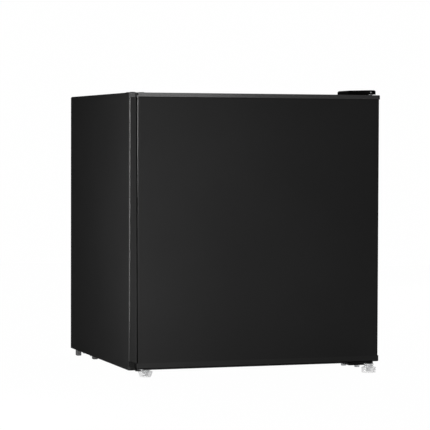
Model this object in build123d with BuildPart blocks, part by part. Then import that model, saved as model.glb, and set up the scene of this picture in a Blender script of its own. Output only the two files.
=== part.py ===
from build123d import *
import os

os.makedirs("parts", exist_ok=True)

# A compact refrigerator: a foamed steel cabinet, a door hinged on the right, a chiller box
# under the ceiling, and a compressor in a bay at the lower rear. Millimetres, +Z up, front at -Y.
# The origin lies on the floor, under the middle of the whole.

# Cabinet sizes
cabinet_width = 445.0
cabinet_height = 478.0
cabinet_depth = 400.0
floor_clearance = 14.0
sheet = 0.8
bend_radius = 3.0
front_flange = 26.0
rear_flange = 12.0
bottom_flange = 16.0
pan_flange = 30.0
panel_inset = 3.0
panel_screw_inset = 20.0

# Food space sizes
side_wall = 36.0
top_wall = 36.0
bottom_wall = 40.0
back_wall = 42.0
liner_wall = 2.0
liner_corner = 14.0
liner_edge = 10.0
liner_lip = 14.0
bay_depth = 150.0
bay_height = 170.0
bay_wall = 36.0

# Door sizes
door_thickness = 41.0
door_gap = 5.0
door_lift = 7.0
door_drop = 1.4
door_edge_radius = 4.0
door_flange = 12.0
top_cap_height = 7.5
bottom_cap_height = 10.0
cap_overhang = 2.0
cap_bevel = 1.0
cap_slope = 2.5
cap_brow = 1.0
cap_corner = 5.0
cap_skirt = 10.0
cap_wall = 2.5
dyke_width = 22.0
dyke_rise = 33.0
dyke_inset = 16.0
dyke_round = 5.0
gasket_width = 18.0
gasket_inset = 13.0
gasket_end_inset = 3.2
gasket_base = 1.5
gasket_waist = 12.0
gasket_head = 2.6
magnet_width = 9.0
magnet_thickness = 1.2

# Hinge sizes
hinge_inset = 10.5
hinge_setback = 18.0
hinge_pin_radius = 4.0
bush_wall = 2.0
bush_length = 14.0
boss_wall = 2.0
hinge_plate = 2.5
hinge_plate_width = 36.0
hinge_plate_length = 46.0
hinge_nose_radius = 7.5
cover_margin = 2.0
cover_wall = 1.4
cover_round = 3.0
cover_height = 7.5
pin_head_radius = 4.4
pin_head_height = 3.0
bracket_plate = 3.0
bracket_width = 37.5
bracket_length = 46.0
bracket_screw_inset = 8.0
bracket_near_screw = 7.0
bracket_far_screw = 36.0
plate_near_screw = 16.0
plate_far_screw = 38.0
plate_screw_spread = 19.0
bracket_reach = 10.0
bracket_rise = 2.0
collar_radius = 5.6

# Foot sizes
foot_rim_radius = 12.5
left_foot_base = 9.5
right_foot_base = 12.0
foot_body_height = 9.5
foot_neck_radius = 8.5
foot_rib_count = 24
foot_rib_radius = 0.7
foot_floor = 1.5
stud_radius = 4.0
stud_rise = 8.0
insert_radius = 6.3
insert_height = 6.0
nut_radius = 7.5
nut_height = 6.0
left_foot_inset = 35.5
left_foot_setback = 19.0
rear_foot_width = 9.0
rear_foot_length = 13.0
rear_foot_inset = 13.0
rear_foot_setback = 8.5
inner_foot_inset = 26.0
inner_foot_setback = 80.0
rear_foot_round = 2.5

# Shelf and door bin sizes
shelf_rise = 18.0
shelf_glass = 4.0
shelf_front_setback = 108.0
shelf_trim_height = 12.0
shelf_trim_depth = 10.0
ledge_reach = 8.0
ledge_height = 6.0
bin_wall = 2.2
bin_round = 8.8
bin_tab = 4.5
bin_tab_height = 8.0
lug_height = 22.0
lug_length = 14.0
upper_bin_depth = 72.0
upper_bin_height = 62.0
upper_bin_rise = 200.0
lower_bin_depth = 88.0
lower_bin_height = 84.0
lower_bin_rise = 48.0

# Chiller sizes
evap_height = 92.0
evap_depth = 192.0
evap_sheet = 1.6
evap_corner = 8.0
evap_drop = 10.0
evap_side_gap = 14.0
evap_back_gap = 8.0
evap_boss_radius = 7.0
evap_boss_inset = 34.0
channel_height = 1.2
channel_width = 7.0
channel_count = 4
frame_depth = 10.0
frame_margin = 4.0
frame_border = 6.0
ear_width = 6.0
flap_sheet = 3.0
flap_pin_radius = 2.5
flap_knuckle_radius = 3.0
flap_lip = 6.0
rail_sheet = 1.5
rail_height = 10.0
rail_lip = 8.0
tray_depth = 22.0
tray_wall = 2.0
tray_flange = 2.0
tray_grip = 8.0

# Thermostat sizes
stat_width = 72.0
stat_height = 50.0
stat_depth = 120.0
stat_wall = 2.0
stat_side_gap = 12.0
stat_chiller_gap = 23.0
stat_setback = 124.0
stat_tab = 12.0
stat_tab_thickness = 3.0
stat_tab_places = (0.25, 0.75)
switch_width = 32.0
switch_height = 28.0
switch_depth = 34.0
switch_bush_radius = 5.0
switch_bush_length = 3.0
shaft_radius = 3.0
shaft_length = 13.0
knob_radius = 15.0
knob_skirt_radius = 22.0
knob_skirt = 2.4
knob_length = 16.0
knob_rib = 5.0
sensor_radius = 1.2
sensor_bulb_radius = 3.0
sensor_bulb_length = 70.0
sensor_bend = 6.0

# Compressor bay sizes
base_sheet = 1.5
base_inset = 6.0
base_setback = 2.0
base_flange = 12.0
base_screw_setback = 24.0
shell_length = 150.0
shell_depth = 100.0
shell_corner = 46.0
shell_wall = 3.0
shell_lower = 72.0
shell_upper = 70.0
shell_lower_round = 22.0
shell_upper_round = 30.0
shell_band = 6.0
shell_band_rise = 3.0
shell_x = -60.0
shell_setback = 75.0
pump_radius = 40.0
pump_height = 78.0
pump_foot_radius = 6.0
pump_foot_spread = 40.0
pump_foot_height = 12.0
mount_sheet = 2.5
mount_width = 28.0
mount_length = 140.0
mount_round = 7.0
mount_spread = 45.0
grommet_spread = 61.0
grommet_radius = 9.0
grommet_lower = 6.0
grommet_upper = 5.5
grommet_neck_radius = 6.0
grommet_bore = 3.5
bolt_radius = 3.0
bolt_head_radius = 6.0
bolt_head = 4.0
relay_length = 34.0
relay_width = 54.0
relay_height = 62.0
relay_rise = 24.0
gland_x = -140.0
gland_radius = 6.0
gland_flange = 9.0
gland_bore = 3.6

# Condenser and pipe sizes
condenser_depth = 26.0
condenser_inset = 37.5
condenser_tube = 2.4
condenser_passes = 11
condenser_base = 18.0
condenser_margin = 24.0
wire_radius = 0.7
wire_pitch = 12.0
wire_overrun = 8.0
bracket_arm = 8.0
bracket_foot = 22.0
bracket_foot_sheet = 2.0
discharge_gap = 18.0
discharge_rise = 40.0
pipe_bend = 13.0
suction_radius = 3.6
suction_inset = 19.5
suction_rise = 52.0
capillary_radius = 1.1
capillary_offset = 9.0
capillary_bend = 6.0
capillary_rise = 26.0
drier_radius = 8.0
drier_length = 80.0
drier_gap = 15.0
drier_setback = 22.0
drier_rise = 46.0

# Screw sizes
screw_radius = 1.7
screw_head_radius = 4.0
screw_head = 2.0
hinge_screw_radius = 2.6
hinge_screw_head_radius = 5.0
hinge_screw_head = 2.6
bracket_screw_head = 5.0
plug_head = 2.2

# Clearances
running_fit = 0.05
press_gap = 0.05
slide_gap = 0.3
hole_gap = 0.2
seat_gap = 0.3
foam_gap = 0.2
cut_over = 1.0

# Places worked out from the sizes
half_width = cabinet_width / 2
overall_depth = door_thickness + door_gap + cabinet_depth + condenser_depth
door_front = -overall_depth / 2
door_back = door_front + door_thickness
cab_front = door_back + door_gap
cab_back = cab_front + cabinet_depth
cab_bottom = floor_clearance
cab_top = cab_bottom + cabinet_height
door_bottom = cab_bottom + door_lift
door_top = cab_top - door_drop
skin_bottom = door_bottom + bottom_cap_height
skin_top = door_top - top_cap_height
hinge_x = half_width - hinge_inset
hinge_y = door_front + hinge_setback

food_half = half_width - side_wall
food_floor = cab_bottom + bottom_wall
food_top = cab_top - top_wall
food_back = cab_back - back_wall
bay_front = cab_back - bay_depth
bay_top = cab_bottom + bay_height
step_front = bay_front - bay_wall
step_top = bay_top + bay_wall
lip_front = cab_front + sheet
pan_floor = cab_bottom + sheet

stat_right = food_half - stat_side_gap
stat_left = stat_right - stat_width
evap_left = evap_side_gap - food_half
evap_right = stat_left - stat_chiller_gap
evap_width = evap_right - evap_left
evap_top = food_top - evap_drop
evap_bottom = evap_top - evap_height
evap_rear = food_back - evap_back_gap
evap_front = evap_rear - evap_depth

left_foot = (left_foot_inset - half_width, cab_front + left_foot_setback)
right_foot = (hinge_x, hinge_y)
bracket_left = hinge_x + hinge_nose_radius - bracket_width
bracket_screws = [
    (hinge_x - bracket_screw_inset, cab_front + bracket_near_screw),
    (bracket_left + bracket_screw_inset, cab_front + bracket_far_screw),
]
hinge_screws = [
    (hinge_x, cab_front + plate_near_screw),
    (hinge_x, cab_front + plate_far_screw),
    (hinge_x - plate_screw_spread, cab_front + (plate_near_screw + plate_far_screw) / 2),
]

forward = (0, -1, 0)
backward = (0, 1, 0)
rightward = (1, 0, 0)
upward = (0, 0, 1)
downward = (0, 0, -1)


def block(x, y, z, mode=Mode.ADD):
    """A box given by its low and high limits on each axis."""
    middle = tuple((low + high) / 2 for low, high in (x, y, z))
    with Locations(middle):
        return Box(x[1] - x[0], y[1] - y[0], z[1] - z[0], mode=mode)


def rod(base, direction, radius, length, mode=Mode.ADD):
    """A cylinder that starts at a base point and runs along a direction."""
    with Locations(Plane(origin=base, z_dir=direction)):
        return Cylinder(radius, length, align=(Align.CENTER, Align.CENTER, Align.MIN), mode=mode)


def hexagon(base, direction, radius, length):
    """A hexagonal bar that starts at a base point and runs along a direction."""
    with BuildPart() as bar:
        with BuildSketch(Plane(origin=base, z_dir=direction)):
            RegularPolygon(radius, 6)
        extrude(amount=length)
    return bar.part


def pipe(points, bend, radius):
    """A round bar through the points, with every corner bent to one radius."""
    with BuildPart() as bar:
        with BuildLine() as route:
            FilletPolyline(*points, radius=bend)
        with BuildSketch(Plane(origin=route.line @ 0, z_dir=route.line % 0)):
            Circle(radius)
        sweep()
    return bar.part


def ring(x, y, z, width, mode=Mode.ADD):
    """An upright rectangular ring, flat to the front, given by its outer limits and width."""
    block(x, y, z, mode)
    inner_x = (x[0] + width, x[1] - width)
    inner_z = (z[0] + width, z[1] - width)
    block(inner_x, (y[0] - cut_over, y[1] + cut_over), inner_z, Mode.SUBTRACT)


def inset(limits, amount):
    """Limits moved inward by an amount at both ends."""
    return (limits[0] + amount, limits[1] - amount)


def save(builder, name):
    """Label a finished piece and write it to its own file."""
    builder.part.label = name
    export_step(builder.part, f"parts/{name}.step")


def mirrored(points):
    """The same places on the left-hand side."""
    return [(-x, y) for x, y in points]


def cabinet_block(depth, radius):
    """The cabinet's outer block, or the space inside it, with its bent edges rounded."""
    with BuildPart() as body:
        block(
            inset((-half_width, half_width), depth),
            inset((cab_front, cab_back), depth),
            inset((cab_bottom, cab_top), depth),
        )
        long_edges = body.edges().filter_by(Axis.Y).group_by(Axis.Z)[-1]
        upright_edges = body.edges().filter_by(Axis.Z).group_by(Axis.Y)[0]
        brow_edge = body.edges().filter_by(Axis.X).group_by(Axis.Y)[0].sort_by(Axis.Z)[-1:]
        fillet(long_edges + upright_edges + brow_edge, radius)
    return body.part


def food_space(grow, front):
    """The food space grown outward by a wall, with its step over the compressor bay."""
    outline = [
        (front, food_floor - grow),
        (step_front + grow, food_floor - grow),
        (step_front + grow, step_top - grow),
        (food_back + grow, step_top - grow),
        (food_back + grow, food_top + grow),
        (front, food_top + grow),
    ]
    with BuildPart() as space:
        with BuildSketch(Plane.YZ.offset(-food_half - grow)) as section:
            with BuildLine():
                Polyline(*outline, close=True)
            make_face()
            fillet(section.vertices().sort_by(Axis.Y)[2:], liner_corner + grow)
        extrude(amount=2 * (food_half + grow))
        sides = space.faces().sort_by(Axis.X)
        left_edges = sides[0].edges().sort_by(Axis.Y)[1:]
        right_edges = sides[-1].edges().sort_by(Axis.Y)[1:]
        fillet(left_edges + right_edges, liner_edge + grow)
    return space.part


def hinge_outline(grow):
    """The upper hinge's outline seen from above: a plate that narrows to a round nose."""
    plate_right = hinge_x + hinge_nose_radius
    plate_middle = (
        plate_right - hinge_plate_width / 2,
        cab_front + bend_radius + hinge_plate_length / 2,
    )
    with BuildSketch(Plane.XY.offset(cab_top)) as outline:
        with Locations((hinge_x, hinge_y)):
            Circle(hinge_nose_radius + grow)
        with Locations(plate_middle):
            Rectangle(hinge_plate_width + 2 * grow, hinge_plate_length + 2 * grow)
        make_hull(outline.edges())
    return outline.sketch


def mount_points(radius):
    """The four places of the compressor's rubber mounts, or of what stands above them."""
    return [
        (shell_x + across * mount_spread, shell_y + along * radius)
        for across in (-1, 1)
        for along in (-1, 1)
    ]


shell_y = cab_back - shell_setback
line_z = evap_top - evap_sheet / 2
suction_x = evap_right - suction_inset
suction_y = cab_back + sheet + seat_gap + pipe_bend
capillary_y = cab_back + sheet + seat_gap + capillary_bend
line_holes = [
    ((suction_x, line_z), suction_radius + hole_gap),
    ((suction_x + capillary_offset, line_z), capillary_radius + hole_gap),
]
evap_screws = [
    (x, y)
    for x in (evap_left + evap_boss_inset, evap_right - evap_boss_inset)
    for y in (evap_front + evap_boss_inset, evap_rear - evap_boss_inset)
]
stat_front = cab_front + stat_setback
stat_back = stat_front + stat_depth
stat_floor = food_top - stat_height
stat_screws = [
    (stat_left - stat_tab / 2, stat_front + stat_depth * place) for place in stat_tab_places
]
panel_screws = [
    (side * (half_width - panel_inset - rear_flange / 2), z)
    for side in (-1, 1)
    for z in (bay_top + panel_screw_inset, (bay_top + cab_top) / 2, cab_top - panel_screw_inset)
]
base_screws = [
    (side * (half_width - bottom_flange / 2), y)
    for side in (-1, 1)
    for y in (bay_front + base_screw_setback, (bay_front + cab_back) / 2)
]
hinge_hole = hinge_screw_radius + hole_gap
screw_hole = screw_radius + hole_gap

# The wrapper is one bent sheet: two sides and the top, with flanges to the front, rear and floor.
with BuildPart() as cabinet_wrapper:
    add(cabinet_block(0, bend_radius))
    add(cabinet_block(sheet, bend_radius - sheet), mode=Mode.SUBTRACT)
    front_opening = half_width - front_flange
    block(
        (-front_opening, front_opening),
        (cab_front - sheet, cab_front + 2 * sheet),
        (cab_bottom - sheet, cab_top - front_flange),
        Mode.SUBTRACT,
    )
    rear_opening = half_width - rear_flange
    block(
        (-rear_opening, rear_opening),
        (cab_back - 2 * sheet, cab_back + sheet),
        (cab_bottom - sheet, cab_top - rear_flange),
        Mode.SUBTRACT,
    )
    floor_opening = half_width - bottom_flange
    block(
        (-floor_opening, floor_opening),
        (cab_front - sheet, cab_back + sheet),
        (cab_bottom - sheet, cab_bottom + 2 * sheet),
        Mode.SUBTRACT,
    )
    for x, y in hinge_screws + mirrored(hinge_screws):
        rod((x, y, cab_top - 2 * sheet), upward, hinge_hole, 3 * sheet, Mode.SUBTRACT)
    for x, y in bracket_screws + mirrored(bracket_screws):
        rod((x, y, cab_bottom - sheet), upward, hinge_hole, 3 * sheet, Mode.SUBTRACT)
    for x, y in base_screws:
        rod((x, y, cab_bottom - sheet), upward, screw_hole, 3 * sheet, Mode.SUBTRACT)
    for x, z in panel_screws:
        rod((x, cab_back - 2 * sheet, z), backward, screw_hole, 3 * sheet, Mode.SUBTRACT)
save(cabinet_wrapper, "cabinet_wrapper")

# The rear panel lies on the wrapper's rear flanges and ends above the open compressor bay.
condenser_y = cab_back + condenser_depth - 2 * wire_radius - condenser_tube
condenser_half = half_width - condenser_inset
condenser_low = bay_top + condenser_base
condenser_high = cab_top - condenser_margin
pass_pitch = (condenser_high - condenser_low) / (condenser_passes - 1)
wire_count = int(2 * (condenser_half - wire_pitch) / wire_pitch)
bracket_x = wire_pitch * (wire_count / 2 - 2)
bracket_passes = (condenser_low + pass_pitch, condenser_high - pass_pitch)
condenser_brackets_at = [(side * bracket_x, z) for side in (-1, 1) for z in bracket_passes]
bracket_screw_drop = bracket_foot - 2 * screw_head_radius
with BuildPart() as back_panel:
    panel_half = half_width - panel_inset
    block(
        (-panel_half, panel_half),
        (cab_back, cab_back + sheet),
        (bay_top + sheet, cab_top - panel_inset),
    )
    for x, z in panel_screws:
        rod((x, cab_back - sheet, z), backward, screw_hole, 3 * sheet, Mode.SUBTRACT)
    for (x, z), radius in line_holes:
        rod((x, cab_back - sheet, z), backward, radius, 3 * sheet, Mode.SUBTRACT)
    for x, z in condenser_brackets_at:
        hole_at = (x, cab_back - sheet, z - bracket_screw_drop)
        rod(hole_at, backward, screw_hole, 3 * sheet, Mode.SUBTRACT)
save(back_panel, "back_panel")

# The bottom pan closes the foam below and steps up over the compressor bay.
with BuildPart() as bottom_pan:
    pan_half = half_width - sheet
    pan_x = (-pan_half, pan_half)
    block(
        (-front_opening, front_opening),
        (cab_front, lip_front),
        (cab_bottom, cab_bottom + pan_flange),
    )
    block(pan_x, (cab_front + bend_radius, bay_front), (pan_floor, pan_floor + sheet))
    block(
        (-front_opening, front_opening),
        (cab_front, cab_front + 2 * bend_radius),
        (pan_floor, pan_floor + sheet),
    )
    block(pan_x, (bay_front - sheet, bay_front), (pan_floor, bay_top + sheet))
    block(pan_x, (bay_front - sheet, cab_back - sheet), (bay_top, bay_top + sheet))
    for x, y in bracket_screws + mirrored(bracket_screws):
        rod((x, y, cab_bottom), upward, hinge_hole, 3 * sheet, Mode.SUBTRACT)
    rod((*left_foot, cab_bottom), upward, stud_radius + hole_gap, 3 * sheet, Mode.SUBTRACT)
save(bottom_pan, "bottom_pan")

# The foam fills the space between the steel and the liner, with pockets over nuts and screw ends.
pocket_radius = nut_radius + cut_over
with BuildPart() as cabinet_foam:
    add(cabinet_block(sheet, bend_radius))
    whole_x = (-half_width, half_width)
    block(whole_x, (cab_front, cab_back), (cab_bottom, pan_floor + sheet), Mode.SUBTRACT)
    block(whole_x, (bay_front - sheet, cab_back), (cab_bottom, bay_top + sheet), Mode.SUBTRACT)
    add(food_space(liner_wall + foam_gap, cab_front), mode=Mode.SUBTRACT)
    lip_pocket = food_half + liner_lip + foam_gap
    block(
        (-lip_pocket, lip_pocket),
        (cab_front, lip_front + liner_wall + foam_gap),
        (food_floor - liner_lip - foam_gap, food_top + liner_lip + foam_gap),
        Mode.SUBTRACT,
    )
    for x, y in [left_foot] + bracket_screws + mirrored(bracket_screws):
        rod((x, y, pan_floor), upward, pocket_radius, stud_rise + cut_over, Mode.SUBTRACT)
    for (x, z), radius in line_holes:
        rod((x, food_back - liner_corner, z), backward, radius, cab_back, Mode.SUBTRACT)
save(cabinet_foam, "cabinet_foam")

# The inner liner has a lip behind the front flanges, shelf ledges and bosses for the chiller.
shelf_z = step_top + shelf_rise
shelf_front = cab_front + shelf_front_setback
shelf_half = food_half - slide_gap - cut_over
with BuildPart() as inner_liner:
    add(food_space(liner_wall, lip_front))
    lip_half = food_half + liner_lip
    block(
        (-lip_half, lip_half),
        (lip_front, lip_front + liner_wall),
        (food_floor - liner_lip, food_top + liner_lip),
    )
    add(food_space(0, lip_front - cut_over), mode=Mode.SUBTRACT)
    for side in (-1, 1):
        ledge_x = sorted((side * (food_half - ledge_reach), side * (food_half + liner_wall / 2)))
        ledge_y = (shelf_front, food_back - liner_corner)
        block(ledge_x, ledge_y, (shelf_z - ledge_height, shelf_z))
        keeper_z = shelf_z + shelf_glass + 2 * slide_gap
        block(ledge_x, (step_front, ledge_y[1]), (keeper_z, keeper_z + ledge_height))
    for x, y in evap_screws:
        rod((x, y, evap_top), upward, evap_boss_radius, evap_drop + liner_wall / 2)
        rod((x, y, evap_top - cut_over), upward, screw_hole, evap_drop, Mode.SUBTRACT)
    for x, y in stat_screws:
        rod((x, y, food_top - cut_over), upward, screw_hole, 2 * liner_wall + cut_over, Mode.SUBTRACT)
    for (x, z), radius in line_holes:
        rod((x, food_back - liner_corner, z), backward, radius, back_wall, Mode.SUBTRACT)
save(inner_liner, "inner_liner")

# The base plate closes the compressor bay below and carries the compressor and the rear feet.
base_top = cab_bottom
base_bottom = cab_bottom - base_sheet
base_rear = cab_back - base_setback
with BuildPart() as base_plate:
    base_half = half_width - base_inset
    block((-base_half, base_half), (bay_front - base_inset, base_rear), (base_bottom, base_top))
    flange_half = floor_opening - base_inset
    block(
        (-flange_half, flange_half),
        (base_rear - base_sheet, base_rear),
        (base_bottom, base_top + base_flange),
    )
    block(
        (-flange_half, flange_half),
        (bay_front + seat_gap, bay_front + seat_gap + base_sheet),
        (base_bottom, base_top + base_flange),
    )
    for x, y in base_screws:
        rod(
            (x, y, base_bottom - cut_over),
            upward,
            screw_hole,
            2 * base_sheet + cut_over,
            Mode.SUBTRACT,
        )
    for x, y in mount_points(grommet_spread):
        rod(
            (x, y, base_bottom - cut_over),
            upward,
            bolt_radius + hole_gap,
            2 * base_sheet + cut_over,
            Mode.SUBTRACT,
        )
    gland_z = base_top + base_flange - gland_radius
    gland_at = (gland_x, base_rear - 2 * base_sheet, gland_z)
    rod(gland_at, backward, gland_radius + press_gap, 3 * base_sheet, Mode.SUBTRACT)
save(base_plate, "base_plate")

with BuildPart() as rear_feet:
    for side in (-1, 1):
        for edge, setback in (
            (rear_foot_inset, rear_foot_setback),
            (inner_foot_inset, inner_foot_setback),
        ):
            x = side * (half_width - edge)
            y = cab_back - setback
            block(
                (x - rear_foot_width / 2, x + rear_foot_width / 2),
                (y - rear_foot_length / 2, y + rear_foot_length / 2),
                (0, base_bottom),
            )
    fillet(rear_feet.edges().filter_by(Axis.Z), rear_foot_round)
    chamfer(rear_feet.edges().group_by(Axis.Z)[0], foot_floor / 2)
save(rear_feet, "rear_feet")

# Short screws hold the rear panel and the condenser brackets, and the base plate from below.
with BuildPart() as rear_screws:
    for x, z in panel_screws:
        rod((x, cab_back + sheet, z), backward, screw_head_radius, screw_head)
        rod((x, cab_back - sheet, z), backward, screw_radius, 2 * sheet)
    for x, z in condenser_brackets_at:
        face = cab_back + sheet + bracket_foot_sheet
        rod((x, face, z - bracket_screw_drop), backward, screw_head_radius, screw_head)
        rod((x, cab_back, z - bracket_screw_drop), backward, screw_radius, sheet + bracket_foot_sheet)
save(rear_screws, "rear_screws")

with BuildPart() as base_plate_screws:
    for x, y in base_screws:
        rod((x, y, base_bottom), downward, screw_head_radius, screw_head)
        rod((x, y, base_bottom), upward, screw_radius, 3 * base_sheet)
save(base_plate_screws, "base_plate_screws")

# The compressor is a welded steel pot in two halves, hung on rubber mounts.
mount_floor = base_top + grommet_lower
shell_floor = mount_floor + mount_sheet
seam_z = shell_floor + shell_lower
suction_at = (shell_x + shell_length / 2, shell_y, shell_floor + suction_rise)
discharge_at = (shell_x + shell_length / 2, shell_y, shell_floor + discharge_rise)
with BuildPart() as compressor_lower_shell:
    with BuildSketch(Plane.XY.offset(shell_floor)):
        with Locations((shell_x, shell_y)):
            RectangleRounded(shell_length, shell_depth, shell_corner)
    extrude(amount=shell_lower)
    fillet(compressor_lower_shell.edges().group_by(Axis.Z)[0], shell_lower_round)
    offset(amount=-shell_wall, openings=compressor_lower_shell.faces().sort_by(Axis.Z)[-1:])
    with BuildSketch(Plane.XY.offset(seam_z)):
        with Locations((shell_x, shell_y)):
            RectangleRounded(
                shell_length + 2 * shell_band_rise,
                shell_depth + 2 * shell_band_rise,
                shell_corner + shell_band_rise,
            )
            RectangleRounded(
                shell_length - shell_wall,
                shell_depth - shell_wall,
                shell_corner,
                mode=Mode.SUBTRACT,
            )
    extrude(amount=-shell_band)
save(compressor_lower_shell, "compressor_lower_shell")

with BuildPart() as compressor_upper_shell:
    with BuildSketch(Plane.XY.offset(seam_z)):
        with Locations((shell_x, shell_y)):
            RectangleRounded(shell_length, shell_depth, shell_corner)
    extrude(amount=shell_upper)
    fillet(compressor_upper_shell.edges().group_by(Axis.Z)[-1], shell_upper_round)
    offset(amount=-shell_wall, openings=compressor_upper_shell.faces().sort_by(Axis.Z)[:1])
save(compressor_upper_shell, "compressor_upper_shell")

# The motor and pump stand inside the pot on four spring seats.
with BuildPart() as motor_pump:
    pump_floor = shell_floor + shell_wall
    rod((shell_x, shell_y, pump_floor + pump_foot_height), upward, pump_radius, pump_height)
    for across in (-1, 1):
        for along in (-1, 1):
            foot_at = (
                shell_x + across * pump_foot_spread / 2,
                shell_y + along * pump_foot_spread / 2,
                pump_floor,
            )
            rod(foot_at, upward, pump_foot_radius, pump_foot_height + cut_over)
save(motor_pump, "motor_pump")

with BuildPart() as compressor_mounts:
    for across in (-1, 1):
        x = shell_x + across * mount_spread
        block(
            (x - mount_width / 2, x + mount_width / 2),
            (shell_y - mount_length / 2, shell_y + mount_length / 2),
            (mount_floor, shell_floor),
        )
    fillet(compressor_mounts.edges().filter_by(Axis.Z), mount_round)
    for x, y in mount_points(grommet_spread):
        rod(
            (x, y, mount_floor - cut_over),
            upward,
            grommet_neck_radius + hole_gap,
            2 * mount_sheet + cut_over,
            Mode.SUBTRACT,
        )
save(compressor_mounts, "compressor_mounts")

grommet_top = shell_floor + grommet_upper
with BuildPart() as compressor_grommets:
    for x, y in mount_points(grommet_spread):
        rod((x, y, base_top), upward, grommet_radius, grommet_lower)
        rod((x, y, mount_floor), upward, grommet_neck_radius, mount_sheet)
        rod((x, y, shell_floor), upward, grommet_radius - cut_over, grommet_upper)
        rod((x, y, base_top - cut_over), upward, grommet_bore, grommet_top, Mode.SUBTRACT)
save(compressor_grommets, "compressor_grommets")

with BuildPart() as compressor_bolts:
    for x, y in mount_points(grommet_spread):
        bolt_foot = base_bottom - bolt_head
        rod((x, y, bolt_foot), upward, bolt_radius, grommet_top - bolt_foot)
        add(hexagon((x, y, grommet_top), upward, bolt_head_radius, bolt_head))
        add(hexagon((x, y, base_bottom), downward, bolt_head_radius, bolt_head))
save(compressor_bolts, "compressor_bolts")

with BuildPart() as relay_cover:
    relay_right = shell_x - shell_length / 2 - shell_band_rise
    block(
        (relay_right - relay_length, relay_right),
        (shell_y - relay_width / 2, shell_y + relay_width / 2),
        (shell_floor + relay_rise, shell_floor + relay_rise + relay_height),
    )
    fillet(relay_cover.edges().filter_by(Axis.X), shell_band)
    fillet(relay_cover.faces().sort_by(Axis.X)[0].edges(), shell_band / 2)
save(relay_cover, "relay_cover")

# The mains cord, left out here, would enter the bay through this gland.
with BuildPart() as cord_gland:
    rod((gland_x, base_rear, gland_z), backward, gland_flange, base_setback)
    rod((gland_x, base_rear - 2 * base_setback, gland_z), backward, gland_radius, 2 * base_setback)
    rod(
        (gland_x, base_rear - 3 * base_setback, gland_z),
        backward,
        gland_bore,
        5 * base_setback,
        Mode.SUBTRACT,
    )
save(cord_gland, "cord_gland")

# The condenser is a tube in level passes behind the rear panel, with upright wires on both faces.
condenser_route = []
for turn in range(condenser_passes):
    z = condenser_high - turn * pass_pitch
    ends = (condenser_half, -condenser_half) if turn % 2 == 0 else (-condenser_half, condenser_half)
    condenser_route += [(x, condenser_y, z) for x in ends]
condenser_bend = (pass_pitch - cut_over) / 2
with BuildPart() as condenser_tubes:
    add(pipe(condenser_route, condenser_bend, condenser_tube))
save(condenser_tubes, "condenser_tubes")

with BuildPart() as condenser_wires:
    wire_length = condenser_high - condenser_low + 2 * wire_overrun
    wire_offset = condenser_tube + wire_radius
    for number in range(wire_count):
        x = wire_pitch * (number - (wire_count - 1) / 2)
        for side in (-1, 1):
            foot_at = (x, condenser_y + side * wire_offset, condenser_low - wire_overrun)
            rod(foot_at, upward, wire_radius, wire_length)
save(condenser_wires, "condenser_wires")

with BuildPart() as condenser_brackets:
    for x, z in condenser_brackets_at:
        block(
            (x - bracket_arm / 2, x + bracket_arm / 2),
            (cab_back + sheet, cab_back + sheet + bracket_foot_sheet),
            (z - bracket_foot, z + bracket_foot / 2),
        )
        block(
            (x - bracket_arm / 2, x + bracket_arm / 2),
            (cab_back + sheet, condenser_y + condenser_tube),
            (z - bracket_arm / 2, z + bracket_arm / 2),
        )
        rod(
            (x - bracket_arm, condenser_y, z),
            rightward,
            condenser_tube + hole_gap,
            2 * bracket_arm,
            Mode.SUBTRACT,
        )
        hole_at = (x, cab_back, z - bracket_screw_drop)
        rod(hole_at, backward, screw_hole, bracket_foot, Mode.SUBTRACT)
save(condenser_brackets, "condenser_brackets")

# The drier hangs in the bay on the tail of the condenser's last pass.
drier_x = -condenser_half - drier_gap
drier_y = cab_back - drier_setback
drier_low = base_top + drier_rise
drier_top = drier_low + drier_length
tail_z = (drier_top + condenser_low) / 2
tail_bend = min(condenser_low - tail_z, 2 * drier_gap) / 2 - cut_over
with BuildPart() as filter_drier:
    rod((drier_x, drier_y, drier_low), upward, drier_radius, drier_length)
    chamfer(filter_drier.edges().filter_by(GeomType.CIRCLE), drier_radius / 2)
    points = [
        (-condenser_half, condenser_y, condenser_low),
        (drier_x, condenser_y, condenser_low),
        (drier_x, condenser_y, tail_z),
        (drier_x, drier_y, tail_z),
        (drier_x, drier_y, drier_top - cut_over),
    ]
    add(pipe(points, tail_bend, condenser_tube))
save(filter_drier, "filter_drier")

with BuildPart() as discharge_line:
    discharge_x = condenser_half + discharge_gap
    points = [
        discharge_at,
        (discharge_x, shell_y, discharge_at[2]),
        (discharge_x, condenser_y, discharge_at[2]),
        (discharge_x, condenser_y, condenser_high),
        (condenser_half, condenser_y, condenser_high),
    ]
    add(pipe(points, pipe_bend, condenser_tube))
save(discharge_line, "discharge_line")

with BuildPart() as suction_line:
    points = [
        suction_at,
        (suction_x, suction_at[1], suction_at[2]),
        (suction_x, suction_y, suction_at[2]),
        (suction_x, suction_y, line_z),
        (suction_x, evap_rear, line_z),
    ]
    add(pipe(points, pipe_bend, suction_radius))
save(suction_line, "suction_line")

with BuildPart() as capillary_tube:
    capillary_x = suction_x + capillary_offset
    low = base_top + capillary_rise
    points = [
        (drier_x, drier_y, drier_low),
        (drier_x, drier_y, low),
        (drier_x, capillary_y, low),
        (capillary_x, capillary_y, low),
        (capillary_x, capillary_y, line_z),
        (capillary_x, evap_rear, line_z),
    ]
    add(pipe(points, capillary_bend, capillary_radius))
save(capillary_tube, "capillary_tube")

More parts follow.
